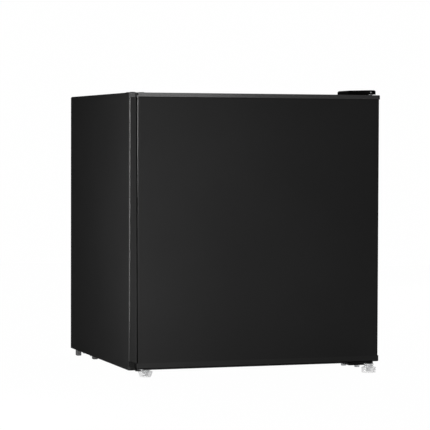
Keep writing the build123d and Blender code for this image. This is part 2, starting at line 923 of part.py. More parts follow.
# The chiller is a box of bonded aluminium sheet, with raised refrigerant channels on its sides.
with BuildPart() as evaporator:
    evap_middle = ((evap_left + evap_right) / 2, evap_rear, (evap_bottom + evap_top) / 2)
    with BuildSketch(Plane(origin=evap_middle, x_dir=rightward, z_dir=forward)):
        RectangleRounded(evap_width, evap_height, evap_corner)
        RectangleRounded(
            evap_width - 2 * evap_sheet,
            evap_height - 2 * evap_sheet,
            evap_corner - evap_sheet,
            mode=Mode.SUBTRACT,
        )
    extrude(amount=evap_depth)
    channel_pitch = (evap_height - 2 * evap_corner - channel_width) / (channel_count - 1)
    channel_ends = (evap_front + evap_corner + channel_width, evap_rear - evap_corner - channel_width)
    for wall in (evap_left, evap_right):
        channel_x = (wall - channel_height, wall + evap_sheet / 2)
        if wall == evap_right:
            channel_x = (wall - evap_sheet / 2, wall + channel_height)
        for row in range(channel_count):
            low = evap_bottom + evap_corner + row * channel_pitch
            block(channel_x, channel_ends, (low, low + channel_width))
            if row < channel_count - 1:
                end = channel_ends[row % 2]
                block(
                    channel_x,
                    (end - channel_width / 2, end + channel_width / 2),
                    (low, low + channel_pitch + channel_width),
                )
    for x, y in evap_screws:
        rod((x, y, evap_top - 2 * evap_sheet), upward, screw_hole, 3 * evap_sheet, Mode.SUBTRACT)
save(evaporator, "evaporator")

with BuildPart() as liner_screws:
    for x, y in evap_screws:
        rod((x, y, evap_top - evap_sheet), downward, screw_head_radius, screw_head)
        rod((x, y, evap_top - evap_sheet), upward, screw_radius, evap_drop - cut_over)
    for x, y in stat_screws:
        rod((x, y, food_top - stat_tab_thickness), downward, screw_head_radius, screw_head)
        rod(
            (x, y, food_top - stat_tab_thickness),
            upward,
            screw_radius,
            stat_tab_thickness + liner_wall,
        )
save(liner_screws, "liner_screws")

# A plastic frame edges the chiller's mouth and carries the flap in two ears.
frame_front = evap_front - frame_depth
frame_top = evap_top + frame_margin
frame_x = (evap_left - frame_margin, evap_right + frame_margin)
pivot_y = frame_front - slide_gap - flap_knuckle_radius
pivot_z = frame_top - flap_knuckle_radius - flap_pin_radius
ear_reach = flap_pin_radius + flap_knuckle_radius
with BuildPart() as chiller_frame:
    ring(
        frame_x,
        (frame_front, evap_front),
        (evap_bottom - frame_margin, frame_top),
        frame_margin + frame_border,
    )
    for ear_x in ((frame_x[0], frame_x[0] + ear_width), (frame_x[1] - ear_width, frame_x[1])):
        block(ear_x, (pivot_y - ear_reach, frame_front), (pivot_z - ear_reach, frame_top))
    rod(
        (frame_x[0] - cut_over, pivot_y, pivot_z),
        rightward,
        flap_pin_radius + running_fit,
        2 * evap_width,
        Mode.SUBTRACT,
    )
save(chiller_frame, "chiller_frame")

with BuildPart() as chiller_flap:
    flap_x = (frame_x[0] + ear_width + slide_gap, frame_x[1] - ear_width - slide_gap)
    flap_low = evap_bottom - frame_margin + flap_sheet
    block(flap_x, (pivot_y, pivot_y + flap_knuckle_radius), (flap_low, pivot_z))
    block(
        flap_x,
        (pivot_y - flap_lip, pivot_y + flap_knuckle_radius),
        (flap_low, flap_low + flap_sheet),
    )
    rod((flap_x[0], pivot_y, pivot_z), rightward, flap_knuckle_radius, flap_x[1] - flap_x[0])
    pin_start = frame_x[0] + slide_gap
    rod((pin_start, pivot_y, pivot_z), rightward, flap_pin_radius, frame_x[1] - slide_gap - pin_start)
save(chiller_flap, "chiller_flap")

# The drip tray hangs by its flanges in two rails under the chiller.
rail_y = (evap_front + frame_margin, evap_rear - frame_margin)
rail_floor = evap_bottom - rail_height
with BuildPart() as tray_rails:
    for side, wall in ((1, evap_left), (-1, evap_right)):
        web_x = sorted((wall, wall + side * rail_sheet))
        lip_x = sorted((wall, wall + side * rail_lip))
        block(web_x, rail_y, (rail_floor, evap_bottom))
        block(lip_x, rail_y, (rail_floor, rail_floor + rail_sheet))
        foot_x = sorted((wall, wall + side * (evap_corner + rail_lip)))
        block(foot_x, rail_y, (evap_bottom - rail_sheet, evap_bottom))
save(tray_rails, "tray_rails")

with BuildPart() as drip_tray:
    tray_y = (rail_y[0], rail_y[1] - frame_margin)
    flange_low = rail_floor + rail_sheet + slide_gap
    flange_top = flange_low + tray_flange
    tray_floor = flange_top - tray_depth
    flange_edge = rail_sheet + slide_gap
    body_edge = rail_lip + slide_gap
    body_x = (evap_left + body_edge, evap_right - body_edge)
    flange_x = (evap_left + flange_edge, evap_right - flange_edge)
    block(body_x, tray_y, (tray_floor, flange_top))
    block(flange_x, tray_y, (flange_low, flange_top))
    block(
        (body_x[0] + tray_wall, body_x[1] - tray_wall),
        (tray_y[0] + tray_wall, tray_y[1] - tray_wall),
        (tray_floor + tray_wall, flange_top + cut_over),
        Mode.SUBTRACT,
    )
    block(flange_x, (tray_y[0] - tray_wall, tray_y[0]), (tray_floor, flange_top))
    block(body_x, (tray_y[0] - tray_grip, tray_y[0]), (tray_floor, tray_floor + tray_wall))
save(drip_tray, "drip_tray")

# The shelf is a glass sheet with a plastic trim along its front and rear edges.
glass_z = shelf_z + slide_gap
glass_back = food_back - liner_corner
with BuildPart() as shelf_glass_sheet:
    block((-shelf_half, shelf_half), (shelf_front, glass_back), (glass_z, glass_z + shelf_glass))
    fillet(shelf_glass_sheet.edges().filter_by(Axis.Z), shelf_glass)
save(shelf_glass_sheet, "shelf_glass")

with BuildPart() as shelf_trim:
    trim_half = food_half - ledge_reach - cut_over
    trim_z = (
        glass_z - (shelf_trim_height - shelf_glass) / 2,
        glass_z + (shelf_trim_height + shelf_glass) / 2,
    )
    trim_front = shelf_front - bin_wall
    block((-trim_half, trim_half), (trim_front, trim_front + shelf_trim_depth), trim_z)
    fillet(shelf_trim.faces().sort_by(Axis.Y)[0].edges(), bin_wall / 2)
    block(
        (-shelf_half, shelf_half),
        (shelf_front - press_gap, shelf_front + shelf_trim_depth),
        (glass_z - press_gap, glass_z + shelf_glass + press_gap),
        Mode.SUBTRACT,
    )
save(shelf_trim, "shelf_trim")

# The thermostat sits in a box under the ceiling, beside the chiller, with its knob to the front.
stat_axis_x = (stat_left + stat_right) / 2
stat_axis_z = (stat_floor + food_top) / 2
sensor_x = evap_right + channel_height + sensor_bulb_radius + seat_gap
sensor_y = stat_front + stat_wall + switch_depth + 2 * pipe_bend
with BuildPart() as thermostat_housing:
    block((stat_left, stat_right), (stat_front, stat_back), (stat_floor, food_top))
    fillet(thermostat_housing.edges().filter_by(Axis.Y).group_by(Axis.Z)[0], 2 * stat_wall)
    fillet(thermostat_housing.faces().sort_by(Axis.Y)[0].edges().sort_by(Axis.Z)[:-1], stat_wall / 2)
    block(
        (stat_left + stat_wall, stat_right - stat_wall),
        (stat_front + stat_wall, stat_back - stat_wall),
        (stat_floor + stat_wall, food_top + cut_over),
        Mode.SUBTRACT,
    )
    for x, y in stat_screws:
        block(
            (stat_left - stat_tab, stat_left + stat_wall / 2),
            (y - stat_tab / 2, y + stat_tab / 2),
            (food_top - stat_tab_thickness, food_top),
        )
        rod(
            (x, y, food_top - 2 * stat_tab_thickness),
            upward,
            screw_hole,
            3 * stat_tab_thickness,
            Mode.SUBTRACT,
        )
    rod(
        (stat_axis_x, stat_front - cut_over, stat_axis_z),
        backward,
        switch_bush_radius + hole_gap,
        2 * stat_wall,
        Mode.SUBTRACT,
    )
    rod(
        (stat_left - cut_over, sensor_y, stat_axis_z),
        rightward,
        sensor_radius + hole_gap,
        2 * stat_wall,
        Mode.SUBTRACT,
    )
save(thermostat_housing, "thermostat_housing")

with BuildPart() as thermostat_switch:
    switch_front = stat_front + stat_wall
    block(
        (stat_axis_x - switch_width / 2, stat_axis_x + switch_width / 2),
        (switch_front, switch_front + switch_depth),
        (stat_axis_z - switch_height / 2, stat_axis_z + switch_height / 2),
    )
    rod(
        (stat_axis_x, switch_front, stat_axis_z),
        forward,
        switch_bush_radius,
        stat_wall + switch_bush_length,
    )
    rod((stat_axis_x, switch_front, stat_axis_z), forward, shaft_radius, stat_wall + shaft_length)
save(thermostat_switch, "thermostat_switch")

with BuildPart() as thermostat_knob:
    knob_back = stat_front - slide_gap
    rod((stat_axis_x, knob_back, stat_axis_z), forward, knob_skirt_radius, knob_skirt)
    rod((stat_axis_x, knob_back, stat_axis_z), forward, knob_radius, knob_length)
    chamfer(thermostat_knob.edges().group_by(Axis.Y)[0], cut_over)
    block(
        (stat_axis_x - knob_rib / 2, stat_axis_x + knob_rib / 2),
        (knob_back - knob_length - knob_rib / 2, knob_back - knob_skirt),
        (stat_axis_z - knob_radius, stat_axis_z + knob_skirt_radius - knob_skirt),
    )
    hub_depth = switch_bush_length + slide_gap
    rod(
        (stat_axis_x, knob_back + cut_over, stat_axis_z),
        forward,
        switch_bush_radius + slide_gap,
        hub_depth + cut_over,
        Mode.SUBTRACT,
    )
    rod(
        (stat_axis_x, knob_back, stat_axis_z),
        forward,
        shaft_radius + running_fit,
        shaft_length + slide_gap,
        Mode.SUBTRACT,
    )
save(thermostat_knob, "thermostat_knob")

# The thermostat's sensing tube runs along the chiller's side to its bulb.
with BuildPart() as sensor_tube:
    bulb_back = evap_rear - channel_width
    bulb_front = bulb_back - sensor_bulb_length
    points = [
        (stat_axis_x, switch_front + switch_depth, stat_axis_z),
        (stat_axis_x, sensor_y, stat_axis_z),
        (sensor_x, sensor_y, stat_axis_z),
        (sensor_x, bulb_front + cut_over, stat_axis_z),
    ]
    add(pipe(points, sensor_bend, sensor_radius))
    rod((sensor_x, bulb_front, stat_axis_z), backward, sensor_bulb_radius, sensor_bulb_length)
save(sensor_tube, "sensor_tube")

# The upper hinge: a steel plate on the cabinet's top, its pin, its screws and a plastic cover.
plate_top = cab_top + hinge_plate
with BuildPart() as top_hinge_plate:
    add(hinge_outline(0))
    extrude(amount=hinge_plate)
    rod(
        (hinge_x, hinge_y, cab_top - cut_over),
        upward,
        hinge_pin_radius + press_gap,
        3 * hinge_plate,
        Mode.SUBTRACT,
    )
    for x, y in hinge_screws:
        rod((x, y, cab_top - cut_over), upward, hinge_hole, 3 * hinge_plate, Mode.SUBTRACT)
save(top_hinge_plate, "top_hinge_plate")

with BuildPart() as top_hinge_pin:
    pin_end = door_top - bush_length + cut_over
    rod((hinge_x, hinge_y, pin_end), upward, hinge_pin_radius, plate_top - pin_end)
    rod((hinge_x, hinge_y, plate_top), upward, pin_head_radius, pin_head_height)
    fillet(top_hinge_pin.edges().group_by(Axis.Z)[-1], cut_over)
save(top_hinge_pin, "top_hinge_pin")

with BuildPart() as top_hinge_screws:
    for x, y in hinge_screws:
        rod((x, y, plate_top), upward, hinge_screw_head_radius, hinge_screw_head)
        rod((x, y, cab_top - sheet), upward, hinge_screw_radius, plate_top - cab_top + sheet)
    fillet(top_hinge_screws.edges().group_by(Axis.Z)[-1], cut_over)
save(top_hinge_screws, "top_hinge_screws")

with BuildPart() as top_hinge_cover:
    add(hinge_outline(cover_margin))
    extrude(amount=cover_height)
    fillet(top_hinge_cover.edges().group_by(Axis.Z)[-1], cover_round)
    add(hinge_outline(cover_margin - cover_wall))
    extrude(amount=cover_height - cover_wall, mode=Mode.SUBTRACT)
    window_half = pin_head_radius + seat_gap
    block(
        (hinge_x - window_half, hinge_x + window_half),
        (door_front, hinge_y),
        (cab_top - cut_over, cab_top + cover_height - cover_wall),
        Mode.SUBTRACT,
    )
save(top_hinge_cover, "top_hinge_cover")

# The lower hinge: a joggled bracket under the cabinet whose pin also carries the right foot.
nose_low = cab_bottom + bracket_rise
nose_top = nose_low + bracket_plate
collar_top = door_bottom - seat_gap
with BuildPart() as bottom_hinge_bracket:
    bracket_x_limits = (bracket_left, hinge_x + hinge_nose_radius)
    joggle = (cab_front - bracket_reach, cab_front - bracket_reach + bracket_plate)
    block(
        bracket_x_limits,
        (joggle[0], cab_front + bracket_length),
        (cab_bottom - bracket_plate, cab_bottom),
    )
    block(bracket_x_limits, joggle, (cab_bottom - bracket_plate, nose_top))
    with BuildSketch(Plane.XY.offset(nose_low)) as nose:
        with Locations((hinge_x, hinge_y)):
            Circle(hinge_nose_radius)
        with Locations(((bracket_left + hinge_x + hinge_nose_radius) / 2, sum(joggle) / 2)):
            Rectangle(bracket_width, bracket_plate)
        make_hull(nose.edges())
    extrude(amount=bracket_plate)
    rod((hinge_x, hinge_y, nose_top), upward, collar_radius, collar_top - nose_top)
    rod(
        (hinge_x, hinge_y, cab_bottom - cut_over),
        upward,
        hinge_pin_radius + press_gap,
        3 * bracket_plate,
        Mode.SUBTRACT,
    )
    for x, y in bracket_screws:
        rod(
            (x, y, cab_bottom - 2 * bracket_plate),
            upward,
            hinge_hole,
            3 * bracket_plate,
            Mode.SUBTRACT,
        )
save(bottom_hinge_bracket, "bottom_hinge_bracket")

stud_end = foot_floor + slide_gap
with BuildPart() as bottom_hinge_pin:
    pin_top = door_bottom + bush_length - cut_over
    rod((*right_foot, stud_end), upward, hinge_pin_radius, pin_top - stud_end)
save(bottom_hinge_pin, "bottom_hinge_pin")

with BuildPart() as bottom_hinge_screws:
    for x, y in bracket_screws:
        add(hexagon(
            (x, y, cab_bottom - bracket_plate),
            downward,
            hinge_screw_head_radius,
            bracket_screw_head,
        ))
        rod((x, y, cab_bottom - bracket_plate), upward, hinge_screw_radius, bracket_plate + stud_rise)
save(bottom_hinge_screws, "bottom_hinge_screws")

# Plugs close the spare screw holes that let the door hang on the left instead.
with BuildPart() as hinge_hole_plugs:
    for x, y in mirrored(hinge_screws):
        rod((x, y, cab_top), upward, hinge_screw_head_radius, cut_over)
        rod((x, y, cab_top - sheet), upward, hinge_screw_radius, sheet)
    for x, y in mirrored(bracket_screws):
        rod((x, y, cab_bottom), downward, hinge_screw_head_radius, plug_head)
        rod((x, y, cab_bottom), upward, hinge_screw_radius, 2 * sheet)
save(hinge_hole_plugs, "hinge_hole_plugs")

# The left foot's stud is fixed in the pan by a welded nut.
with BuildPart() as left_foot_stud:
    rod((*left_foot, stud_end), upward, stud_radius, pan_floor + stud_rise - stud_end)
    add(hexagon((*left_foot, pan_floor + sheet), upward, nut_radius, nut_height))
save(left_foot_stud, "left_foot_stud")


def foot_knob(place, base_radius, neck_top):
    """A white foot: a ribbed, tapered body with a neck, bored for its stud and insert."""
    with BuildPart() as knob:
        with BuildSketch(Plane.XY):
            with Locations(place):
                Circle(base_radius)
        with BuildSketch(Plane.XY.offset(foot_body_height)):
            with Locations(place):
                Circle(foot_rim_radius)
        loft()
        fillet(knob.edges().group_by(Axis.Z)[0], foot_floor / 2)
        fillet(knob.edges().group_by(Axis.Z)[-1], foot_floor / 2)
        for number in range(foot_rib_count):
            groove = Vector(foot_rim_radius, 0).rotate(Axis.Z, 360 * number / foot_rib_count)
            groove_at = (place[0] + groove.X, place[1] + groove.Y, 0)
            rod(groove_at, upward, foot_rib_radius, neck_top, Mode.SUBTRACT)
        rod((*place, 0), upward, foot_neck_radius, neck_top)
        rod((*place, foot_floor), upward, stud_radius + slide_gap, neck_top, Mode.SUBTRACT)
        rod(
            (*place, neck_top - insert_height - seat_gap),
            upward,
            insert_radius + running_fit,
            neck_top,
            Mode.SUBTRACT,
        )
    return knob


def foot_insert(place, insert_top):
    """The threaded metal insert in a foot, which climbs its stud as the foot is turned."""
    with BuildPart() as insert:
        rod((*place, insert_top - insert_height), upward, insert_radius, insert_height)
        rod((*place, 0), upward, stud_radius + running_fit, insert_top + cut_over, Mode.SUBTRACT)
    return insert


feet = {
    "left": (left_foot, left_foot_base, cab_bottom),
    "right": (right_foot, right_foot_base, nose_low),
}
for side, (place, base_radius, ceiling) in feet.items():
    save(foot_knob(place, base_radius, ceiling - seat_gap), f"{side}_foot_knob")
    save(foot_insert(place, ceiling - 2 * seat_gap), f"{side}_foot_insert")

# The door: a folded steel skin between two plastic caps, foam inside and a moulded liner behind.
liner_back = door_back - sheet
liner_face = liner_back - liner_wall


def door_section(depth, back):
    """The door's section seen from above, with its front corners rounded."""
    with BuildSketch(Plane.XY.offset(skin_bottom)) as section:
        with Locations((0, (door_front + depth + back) / 2)):
            Rectangle(cabinet_width - 2 * depth, back - door_front - depth)
        fillet(section.vertices().group_by(Axis.Y)[0], door_edge_radius - depth)
    return section.sketch


with BuildPart() as door_skin:
    skin_height = skin_top - skin_bottom
    add(door_section(0, door_back))
    extrude(amount=skin_height)
    add(door_section(sheet, door_back - sheet))
    extrude(amount=skin_height, mode=Mode.SUBTRACT)
    skin_opening = half_width - door_flange
    block(
        (-skin_opening, skin_opening),
        (door_back - 2 * sheet, door_back + sheet),
        (skin_bottom - cut_over, skin_top + cut_over),
        Mode.SUBTRACT,
    )
save(door_skin, "door_skin")

dyke_half = food_half - dyke_inset
dyke_x = (-dyke_half, dyke_half)
dyke_z = (food_floor + dyke_inset, food_top - dyke_inset)
dyke_back = liner_back + dyke_rise
panel_x = (dyke_x[0] + dyke_width, dyke_x[1] - dyke_width)
upper_bin_floor = food_floor + upper_bin_rise
lower_bin_floor = food_floor + lower_bin_rise
bins = {
    "upper_door_bin": (upper_bin_floor, upper_bin_depth, upper_bin_height),
    "lower_door_bin": (lower_bin_floor, lower_bin_depth, lower_bin_height),
}
lug_reach = bin_tab + slide_gap


def dyke(wall, start):
    """The raised border of the door's liner, or its hollow when set in by the liner's wall."""
    with BuildPart() as border:
        border_y = (start, dyke_back - wall)
        ring(inset(dyke_x, wall), border_y, inset(dyke_z, wall), dyke_width - 2 * wall)
    return border.part


with BuildPart() as door_liner:
    add(dyke(0, liner_face))
    rim = door_liner.faces().sort_by(Axis.Y)[-1]
    fillet(rim.edges(), dyke_round)
    liner_half = half_width - sheet
    block((-liner_half, liner_half), (liner_face, liner_back), (skin_bottom, skin_top))
    add(dyke(liner_wall, liner_face - cut_over), mode=Mode.SUBTRACT)
    for floor, depth, height in bins.values():
        lug_top = floor + height - bin_tab_height
        for side in (-1, 1):
            lug_x = sorted((side * (panel_x[1] + liner_wall / 2), side * (panel_x[1] - lug_reach)))
            lug_y = (liner_back, liner_back + lug_length)
            block(lug_x, lug_y, (lug_top - lug_height, lug_top))
save(door_liner, "door_liner")

with BuildPart() as door_foam:
    add(door_section(sheet, liner_face))
    extrude(amount=skin_height)
    block(whole_x, (door_front, door_back), (skin_bottom, skin_bottom + cap_skirt), Mode.SUBTRACT)
    block(whole_x, (door_front, door_back), (skin_top - cap_skirt, skin_top), Mode.SUBTRACT)
    add(dyke(liner_wall + foam_gap, liner_face - cut_over))
save(door_foam, "door_foam")


bush_radius = hinge_pin_radius + bush_wall
boss_radius = bush_radius + boss_wall
skirt_x = (sheet + hole_gap - half_width, half_width - sheet - hole_gap)
skirt_y = (door_front + sheet + hole_gap, liner_face - hole_gap)
cap_x = (-half_width - cap_overhang, half_width + cap_overhang)


def cap_skirt_ring(skirt_z):
    """The wall of an end cap that fits inside the door's skin."""
    with BuildPart() as wall:
        block(skirt_x, skirt_y, skirt_z)
        fillet(wall.edges().filter_by(Axis.Z).group_by(Axis.Y)[0], door_edge_radius)
        block(inset(skirt_x, cap_wall), inset(skirt_y, cap_wall), skirt_z, Mode.SUBTRACT)
    return wall.part


def door_cap(plate_z, skirt_z, bevel_end, hinge_at):
    """A door end cap: a plate that overhangs the sides, with a skirt and two hinge bosses in the skin."""
    with BuildPart() as cap:
        block(cap_x, (door_front, door_back), plate_z)
        fillet(cap.edges().filter_by(Axis.Z).group_by(Axis.Y)[0], cap_corner)
        fillet(cap.edges().filter_by(Axis.Z).group_by(Axis.Y)[-1], cap_overhang)
        chamfer(cap.edges().group_by(Axis.Z)[bevel_end], cap_bevel)
        add(cap_skirt_ring(skirt_z))
        for side in (-1, 1):
            boss_at = (side * hinge_x, hinge_y, skirt_z[0])
            rod(boss_at, upward, boss_radius, skirt_z[1] - skirt_z[0])
            bore_at = (side * hinge_x, hinge_y, hinge_at)
            rod(bore_at, upward, bush_radius + press_gap, bush_length, Mode.SUBTRACT)
    return cap


top_bore = door_top - bush_length
with BuildPart() as door_top_cap:
    add(door_cap((skin_top, door_top), (skin_top - cap_skirt, skin_top), -1, top_bore).part)
    with BuildSketch(Plane.YZ.offset(cap_x[0] - cut_over)):
        with BuildLine():
            Polyline(
                (door_front - cut_over, skin_top + cap_brow),
                (door_front, skin_top + cap_brow),
                (door_front + cap_slope, door_top),
                (door_front + cap_slope, door_top + cut_over),
                (door_front - cut_over, door_top + cut_over),
                close=True,
            )
        make_face()
    extrude(amount=cap_x[1] - cap_x[0] + 2 * cut_over, mode=Mode.SUBTRACT)
save(door_top_cap, "door_top_cap")

door_bottom_cap = door_cap(
    (door_bottom, skin_bottom),
    (skin_bottom, skin_bottom + cap_skirt),
    0,
    door_bottom,
)
save(door_bottom_cap, "door_bottom_cap")

with BuildPart() as door_hinge_bushes:
    for low in (top_bore, door_bottom):
        rod((hinge_x, hinge_y, low), upward, bush_radius, bush_length)
        rod(
            (hinge_x, hinge_y, low - cut_over),
            upward,
            hinge_pin_radius + running_fit,
            bush_length + 2 * cut_over,
            Mode.SUBTRACT,
        )
save(door_hinge_bushes, "door_hinge_bushes")

with BuildPart() as door_cap_plugs:
    for low in (top_bore, door_bottom):
        rod((-hinge_x, hinge_y, low), upward, bush_radius, bush_length)
save(door_cap_plugs, "door_cap_plugs")

# The seal: a base on the liner, a narrow waist, and a head that holds the magnetic strips.
gasket_x = (gasket_inset - half_width, half_width - gasket_inset)
gasket_z = (skin_bottom + gasket_end_inset, skin_top - gasket_end_inset)
gasket_back = cab_front - seat_gap
head_y = (gasket_back - gasket_head, gasket_back)
slot_y = (
    sum(head_y) / 2 - magnet_thickness / 2 - press_gap,
    sum(head_y) / 2 + magnet_thickness / 2 + press_gap,
)
waist_inset = (gasket_width - gasket_waist) / 2


def gasket_ring(edge, width, y):
    """One layer of the seal, set in from its outer edge."""
    with BuildPart() as layer:
        ring(inset(gasket_x, edge), y, inset(gasket_z, edge), width)
    return layer.part


with BuildPart() as door_gasket:
    add(gasket_ring(0, gasket_width, (liner_back, liner_back + gasket_base)))
    add(gasket_ring(waist_inset, gasket_waist, (liner_back, gasket_back - gasket_head / 2)))
    add(gasket_ring(0, gasket_width, head_y))
    slot_edge = gasket_width - magnet_width - cut_over
    add(gasket_ring(slot_edge, magnet_width + 2 * cut_over, slot_y), mode=Mode.SUBTRACT)
save(door_gasket, "door_gasket")

with BuildPart() as gasket_magnets:
    strip_y = inset(slot_y, press_gap)
    strip_x = inset(gasket_x, slot_edge + press_gap)
    strip_z = inset(gasket_z, slot_edge + press_gap)
    for low in (strip_x[0], strip_x[1] - magnet_width):
        block((low, low + magnet_width), strip_y, inset(strip_z, magnet_width + press_gap))
    for low in (strip_z[0], strip_z[1] - magnet_width):
        block(strip_x, strip_y, (low, low + magnet_width))
save(gasket_magnets, "gasket_magnets")


def door_bin(floor, depth, height):
    """An open bin that hangs by its side tabs on the liner's lugs."""
    outer_half = panel_x[1] - lug_reach - slide_gap
    bin_x = (-outer_half, outer_half)
    bin_y = (liner_back + seat_gap, liner_back + seat_gap + depth)
    with BuildPart() as tub:
        block(bin_x, bin_y, (floor, floor + height))
        fillet(tub.edges().filter_by(Axis.Z).group_by(Axis.Y)[-1], bin_round)
        fillet(tub.edges().group_by(Axis.Z)[0], bin_wall)
        with BuildSketch(Plane.XY.offset(floor + bin_wall)) as well:
            with Locations((0, sum(bin_y) / 2)):
                Rectangle(2 * (outer_half - bin_wall), depth - 2 * bin_wall)
            fillet(well.vertices().group_by(Axis.Y)[-1], bin_round - bin_wall)
        extrude(amount=height, mode=Mode.SUBTRACT)
        for side in (-1, 1):
            tab_x = sorted((side * (outer_half - bin_wall), side * (panel_x[1] - slide_gap)))
            tab_y = (bin_y[0], bin_y[0] + lug_length)
            block(tab_x, tab_y, (floor + height - bin_tab_height + seat_gap / 2, floor + height))
    return tub


for name, sizes in bins.items():
    save(door_bin(*sizes), name)
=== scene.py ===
# %% [markdown]
# # Dressing a compact refrigerator
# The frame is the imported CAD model: a foamed steel cabinet, a door hinged on the right, and the
# cooling parts behind. It is loaded first and never moved. This lesson then adds the camera, the
# light, a finish for every piece, and the small forms that the frame leaves plain.

# %% Load the frame
import math

import bmesh
import bpy
from mathutils import Matrix, Vector


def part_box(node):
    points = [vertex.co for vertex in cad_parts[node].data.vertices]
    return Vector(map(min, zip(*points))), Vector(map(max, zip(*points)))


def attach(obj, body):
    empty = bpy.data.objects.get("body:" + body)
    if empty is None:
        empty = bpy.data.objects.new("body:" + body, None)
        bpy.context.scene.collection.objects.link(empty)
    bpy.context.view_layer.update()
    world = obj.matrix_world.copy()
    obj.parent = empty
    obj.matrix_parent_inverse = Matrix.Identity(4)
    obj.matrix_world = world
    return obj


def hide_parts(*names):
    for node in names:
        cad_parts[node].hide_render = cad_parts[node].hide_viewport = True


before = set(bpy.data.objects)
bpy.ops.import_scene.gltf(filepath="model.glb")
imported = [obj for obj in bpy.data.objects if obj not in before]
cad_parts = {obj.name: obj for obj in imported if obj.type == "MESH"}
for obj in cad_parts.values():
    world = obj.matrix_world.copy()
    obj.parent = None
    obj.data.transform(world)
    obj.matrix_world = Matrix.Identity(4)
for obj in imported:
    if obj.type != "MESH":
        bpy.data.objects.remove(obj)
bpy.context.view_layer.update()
MM = 0.001

# %% [markdown]
# ## The camera
# The photograph was taken from a little left of the front, with a long lens, from just under the
# top of the fridge. A camera matrix can be made from three directions: right, up and backward.
# The angles below were fitted to the straight edges of the cabinet, so no aim constraint is needed.

# %% Camera at the photograph's angle
YAW, PITCH, ROLL = 0.32308, 0.03648, 0.00329
EYE = Vector((-1.17807, -3.50817, 0.40819))
LENS_MM = 168.553
SENSOR_MM = 36.0
CLIP_NEAR, CLIP_FAR = 0.05, 100.0

ahead = Vector((math.sin(YAW) * math.cos(PITCH), math.cos(YAW) * math.cos(PITCH), -math.sin(PITCH)))
level_right = Vector((math.cos(YAW), -math.sin(YAW), 0.0))
level_up = level_right.cross(ahead)
right = level_right * math.cos(ROLL) + level_up * math.sin(ROLL)
up = level_up * math.cos(ROLL) - level_right * math.sin(ROLL)

lens = bpy.data.cameras.new("studio_camera")
lens.lens = LENS_MM
lens.sensor_width = SENSOR_MM
lens.clip_start, lens.clip_end = CLIP_NEAR, CLIP_FAR
camera = bpy.data.objects.new("studio_camera", lens)
camera.matrix_world = Matrix((right, up, -ahead)).transposed().to_4x4()
camera.location = EYE
bpy.context.scene.collection.objects.link(camera)
bpy.context.scene.camera = camera
bpy.context.scene.view_settings.view_transform = "Standard"
print("camera", [round(value, 3) for value in EYE], "lens", LENS_MM)

# %% [markdown]
# ## Shader maths in plain Python
# A finish is a small network of nodes. Wiring it by hand hides the idea, so one class wraps a
# socket and turns arithmetic into Math nodes, and one method makes every other node. A finish
# then reads as a formula: fine grain plus faint unevenness gives the roughness.

# %% A socket that can be added and multiplied
class Value:
    def __init__(self, finish, socket):
        self.finish = finish
        self.socket = socket

    def _math(self, operation, first, second):
        return self.finish.node("ShaderNodeMath", {"operation": operation}, {0: first, 1: second})

    def __add__(self, other):
        return self._math("ADD", self, other)

    def __radd__(self, other):
        return self._math("ADD", other, self)

    def __sub__(self, other):
        return self._math("SUBTRACT", self, other)

    def __rsub__(self, other):
        return self._math("SUBTRACT", other, self)

    def __mul__(self, other):
        return self._math("MULTIPLY", self, other)

    def __rmul__(self, other):
        return self._math("MULTIPLY", other, self)

    def __gt__(self, other):
        return self._math("GREATER_THAN", self, other)

    def __lt__(self, other):
        return self._math("LESS_THAN", self, other)

    def __abs__(self):
        return self._math("ABSOLUTE", self, 0.0)


# %% A finish: one material with one node-making method
X, Y, Z = range(3)
MIX_FACTOR, MIX_FIRST, MIX_SECOND, MIX_RESULT = 0, 6, 7, 2


class Finish:
    made = {}

    def __init__(self, name, **constants):
        self.material = bpy.data.materials.new(name)
        self.material.use_nodes = True
        self.tree = self.material.node_tree
        self.shader = self.tree.nodes["Principled BSDF"]
        for socket, value in constants.items():
            self.shader.inputs[socket.replace("_", " ")].default_value = value
        self.place = self.node("ShaderNodeTexCoord", {}, {}, "Object")
        Finish.made[name] = self

    def node(self, kind, settings, sockets, output=0):
        made = self.tree.nodes.new(kind)
        for key, value in settings.items():
            setattr(made, key, value)
        for key, value in sockets.items():
            if isinstance(value, Value):
                self.tree.links.new(value.socket, made.inputs[key])
            else:
                made.inputs[key].default_value = value
        return Value(self, made.outputs[output])

    def feed(self, socket, value):
        self.tree.links.new(value.socket, self.shader.inputs[socket])

    def axis(self, number):
        return self.node("ShaderNodeSeparateXYZ", {}, {0: self.place}, number)

    def stretched(self, scale):
        return self.node("ShaderNodeMapping", {}, {"Vector": self.place, "Scale": scale})

    def noise(self, scale, detail=2.0, where=None):
        sockets = {"Vector": where or self.place, "Scale": scale, "Detail": detail}
        return self.node("ShaderNodeTexNoise", {}, sockets)

    def cells(self, scale, output="Color"):
        return self.node("ShaderNodeTexVoronoi", {}, {"Vector": self.place, "Scale": scale}, output)

    def blend(self, factor, first, second):
        sockets = {MIX_FACTOR: factor, MIX_FIRST: first, MIX_SECOND: second}
        return self.node("ShaderNodeMix", {"data_type": "RGBA"}, sockets, MIX_RESULT)

    def mottle(self, pattern, colour, dark, light):
        """A colour that wanders between a darker and a lighter shade of itself."""
        return self.blend(pattern, shade(colour, dark), shade(colour, light))

    def roughen(self, smoothest, *swings):
        """Roughness from its smoothest value up, with a swing for each pattern."""
        total = smoothest
        for pattern, swing in swings:
            total = total + pattern * swing
        self.feed("Roughness", total)
        return total

    def bump(self, height, distance, strength=1.0):
        sockets = {"Height": height, "Distance": distance, "Strength": strength}
        self.feed("Normal", self.node("ShaderNodeBump", {}, sockets))


def grey(level):
    return level, level, level


def shade(colour, amount):
    """A colour made lighter or darker, and opaque."""
    return tuple(min(1.0, part * amount) for part in colour[:3]) + (1.0,)


print("shader helpers ready")

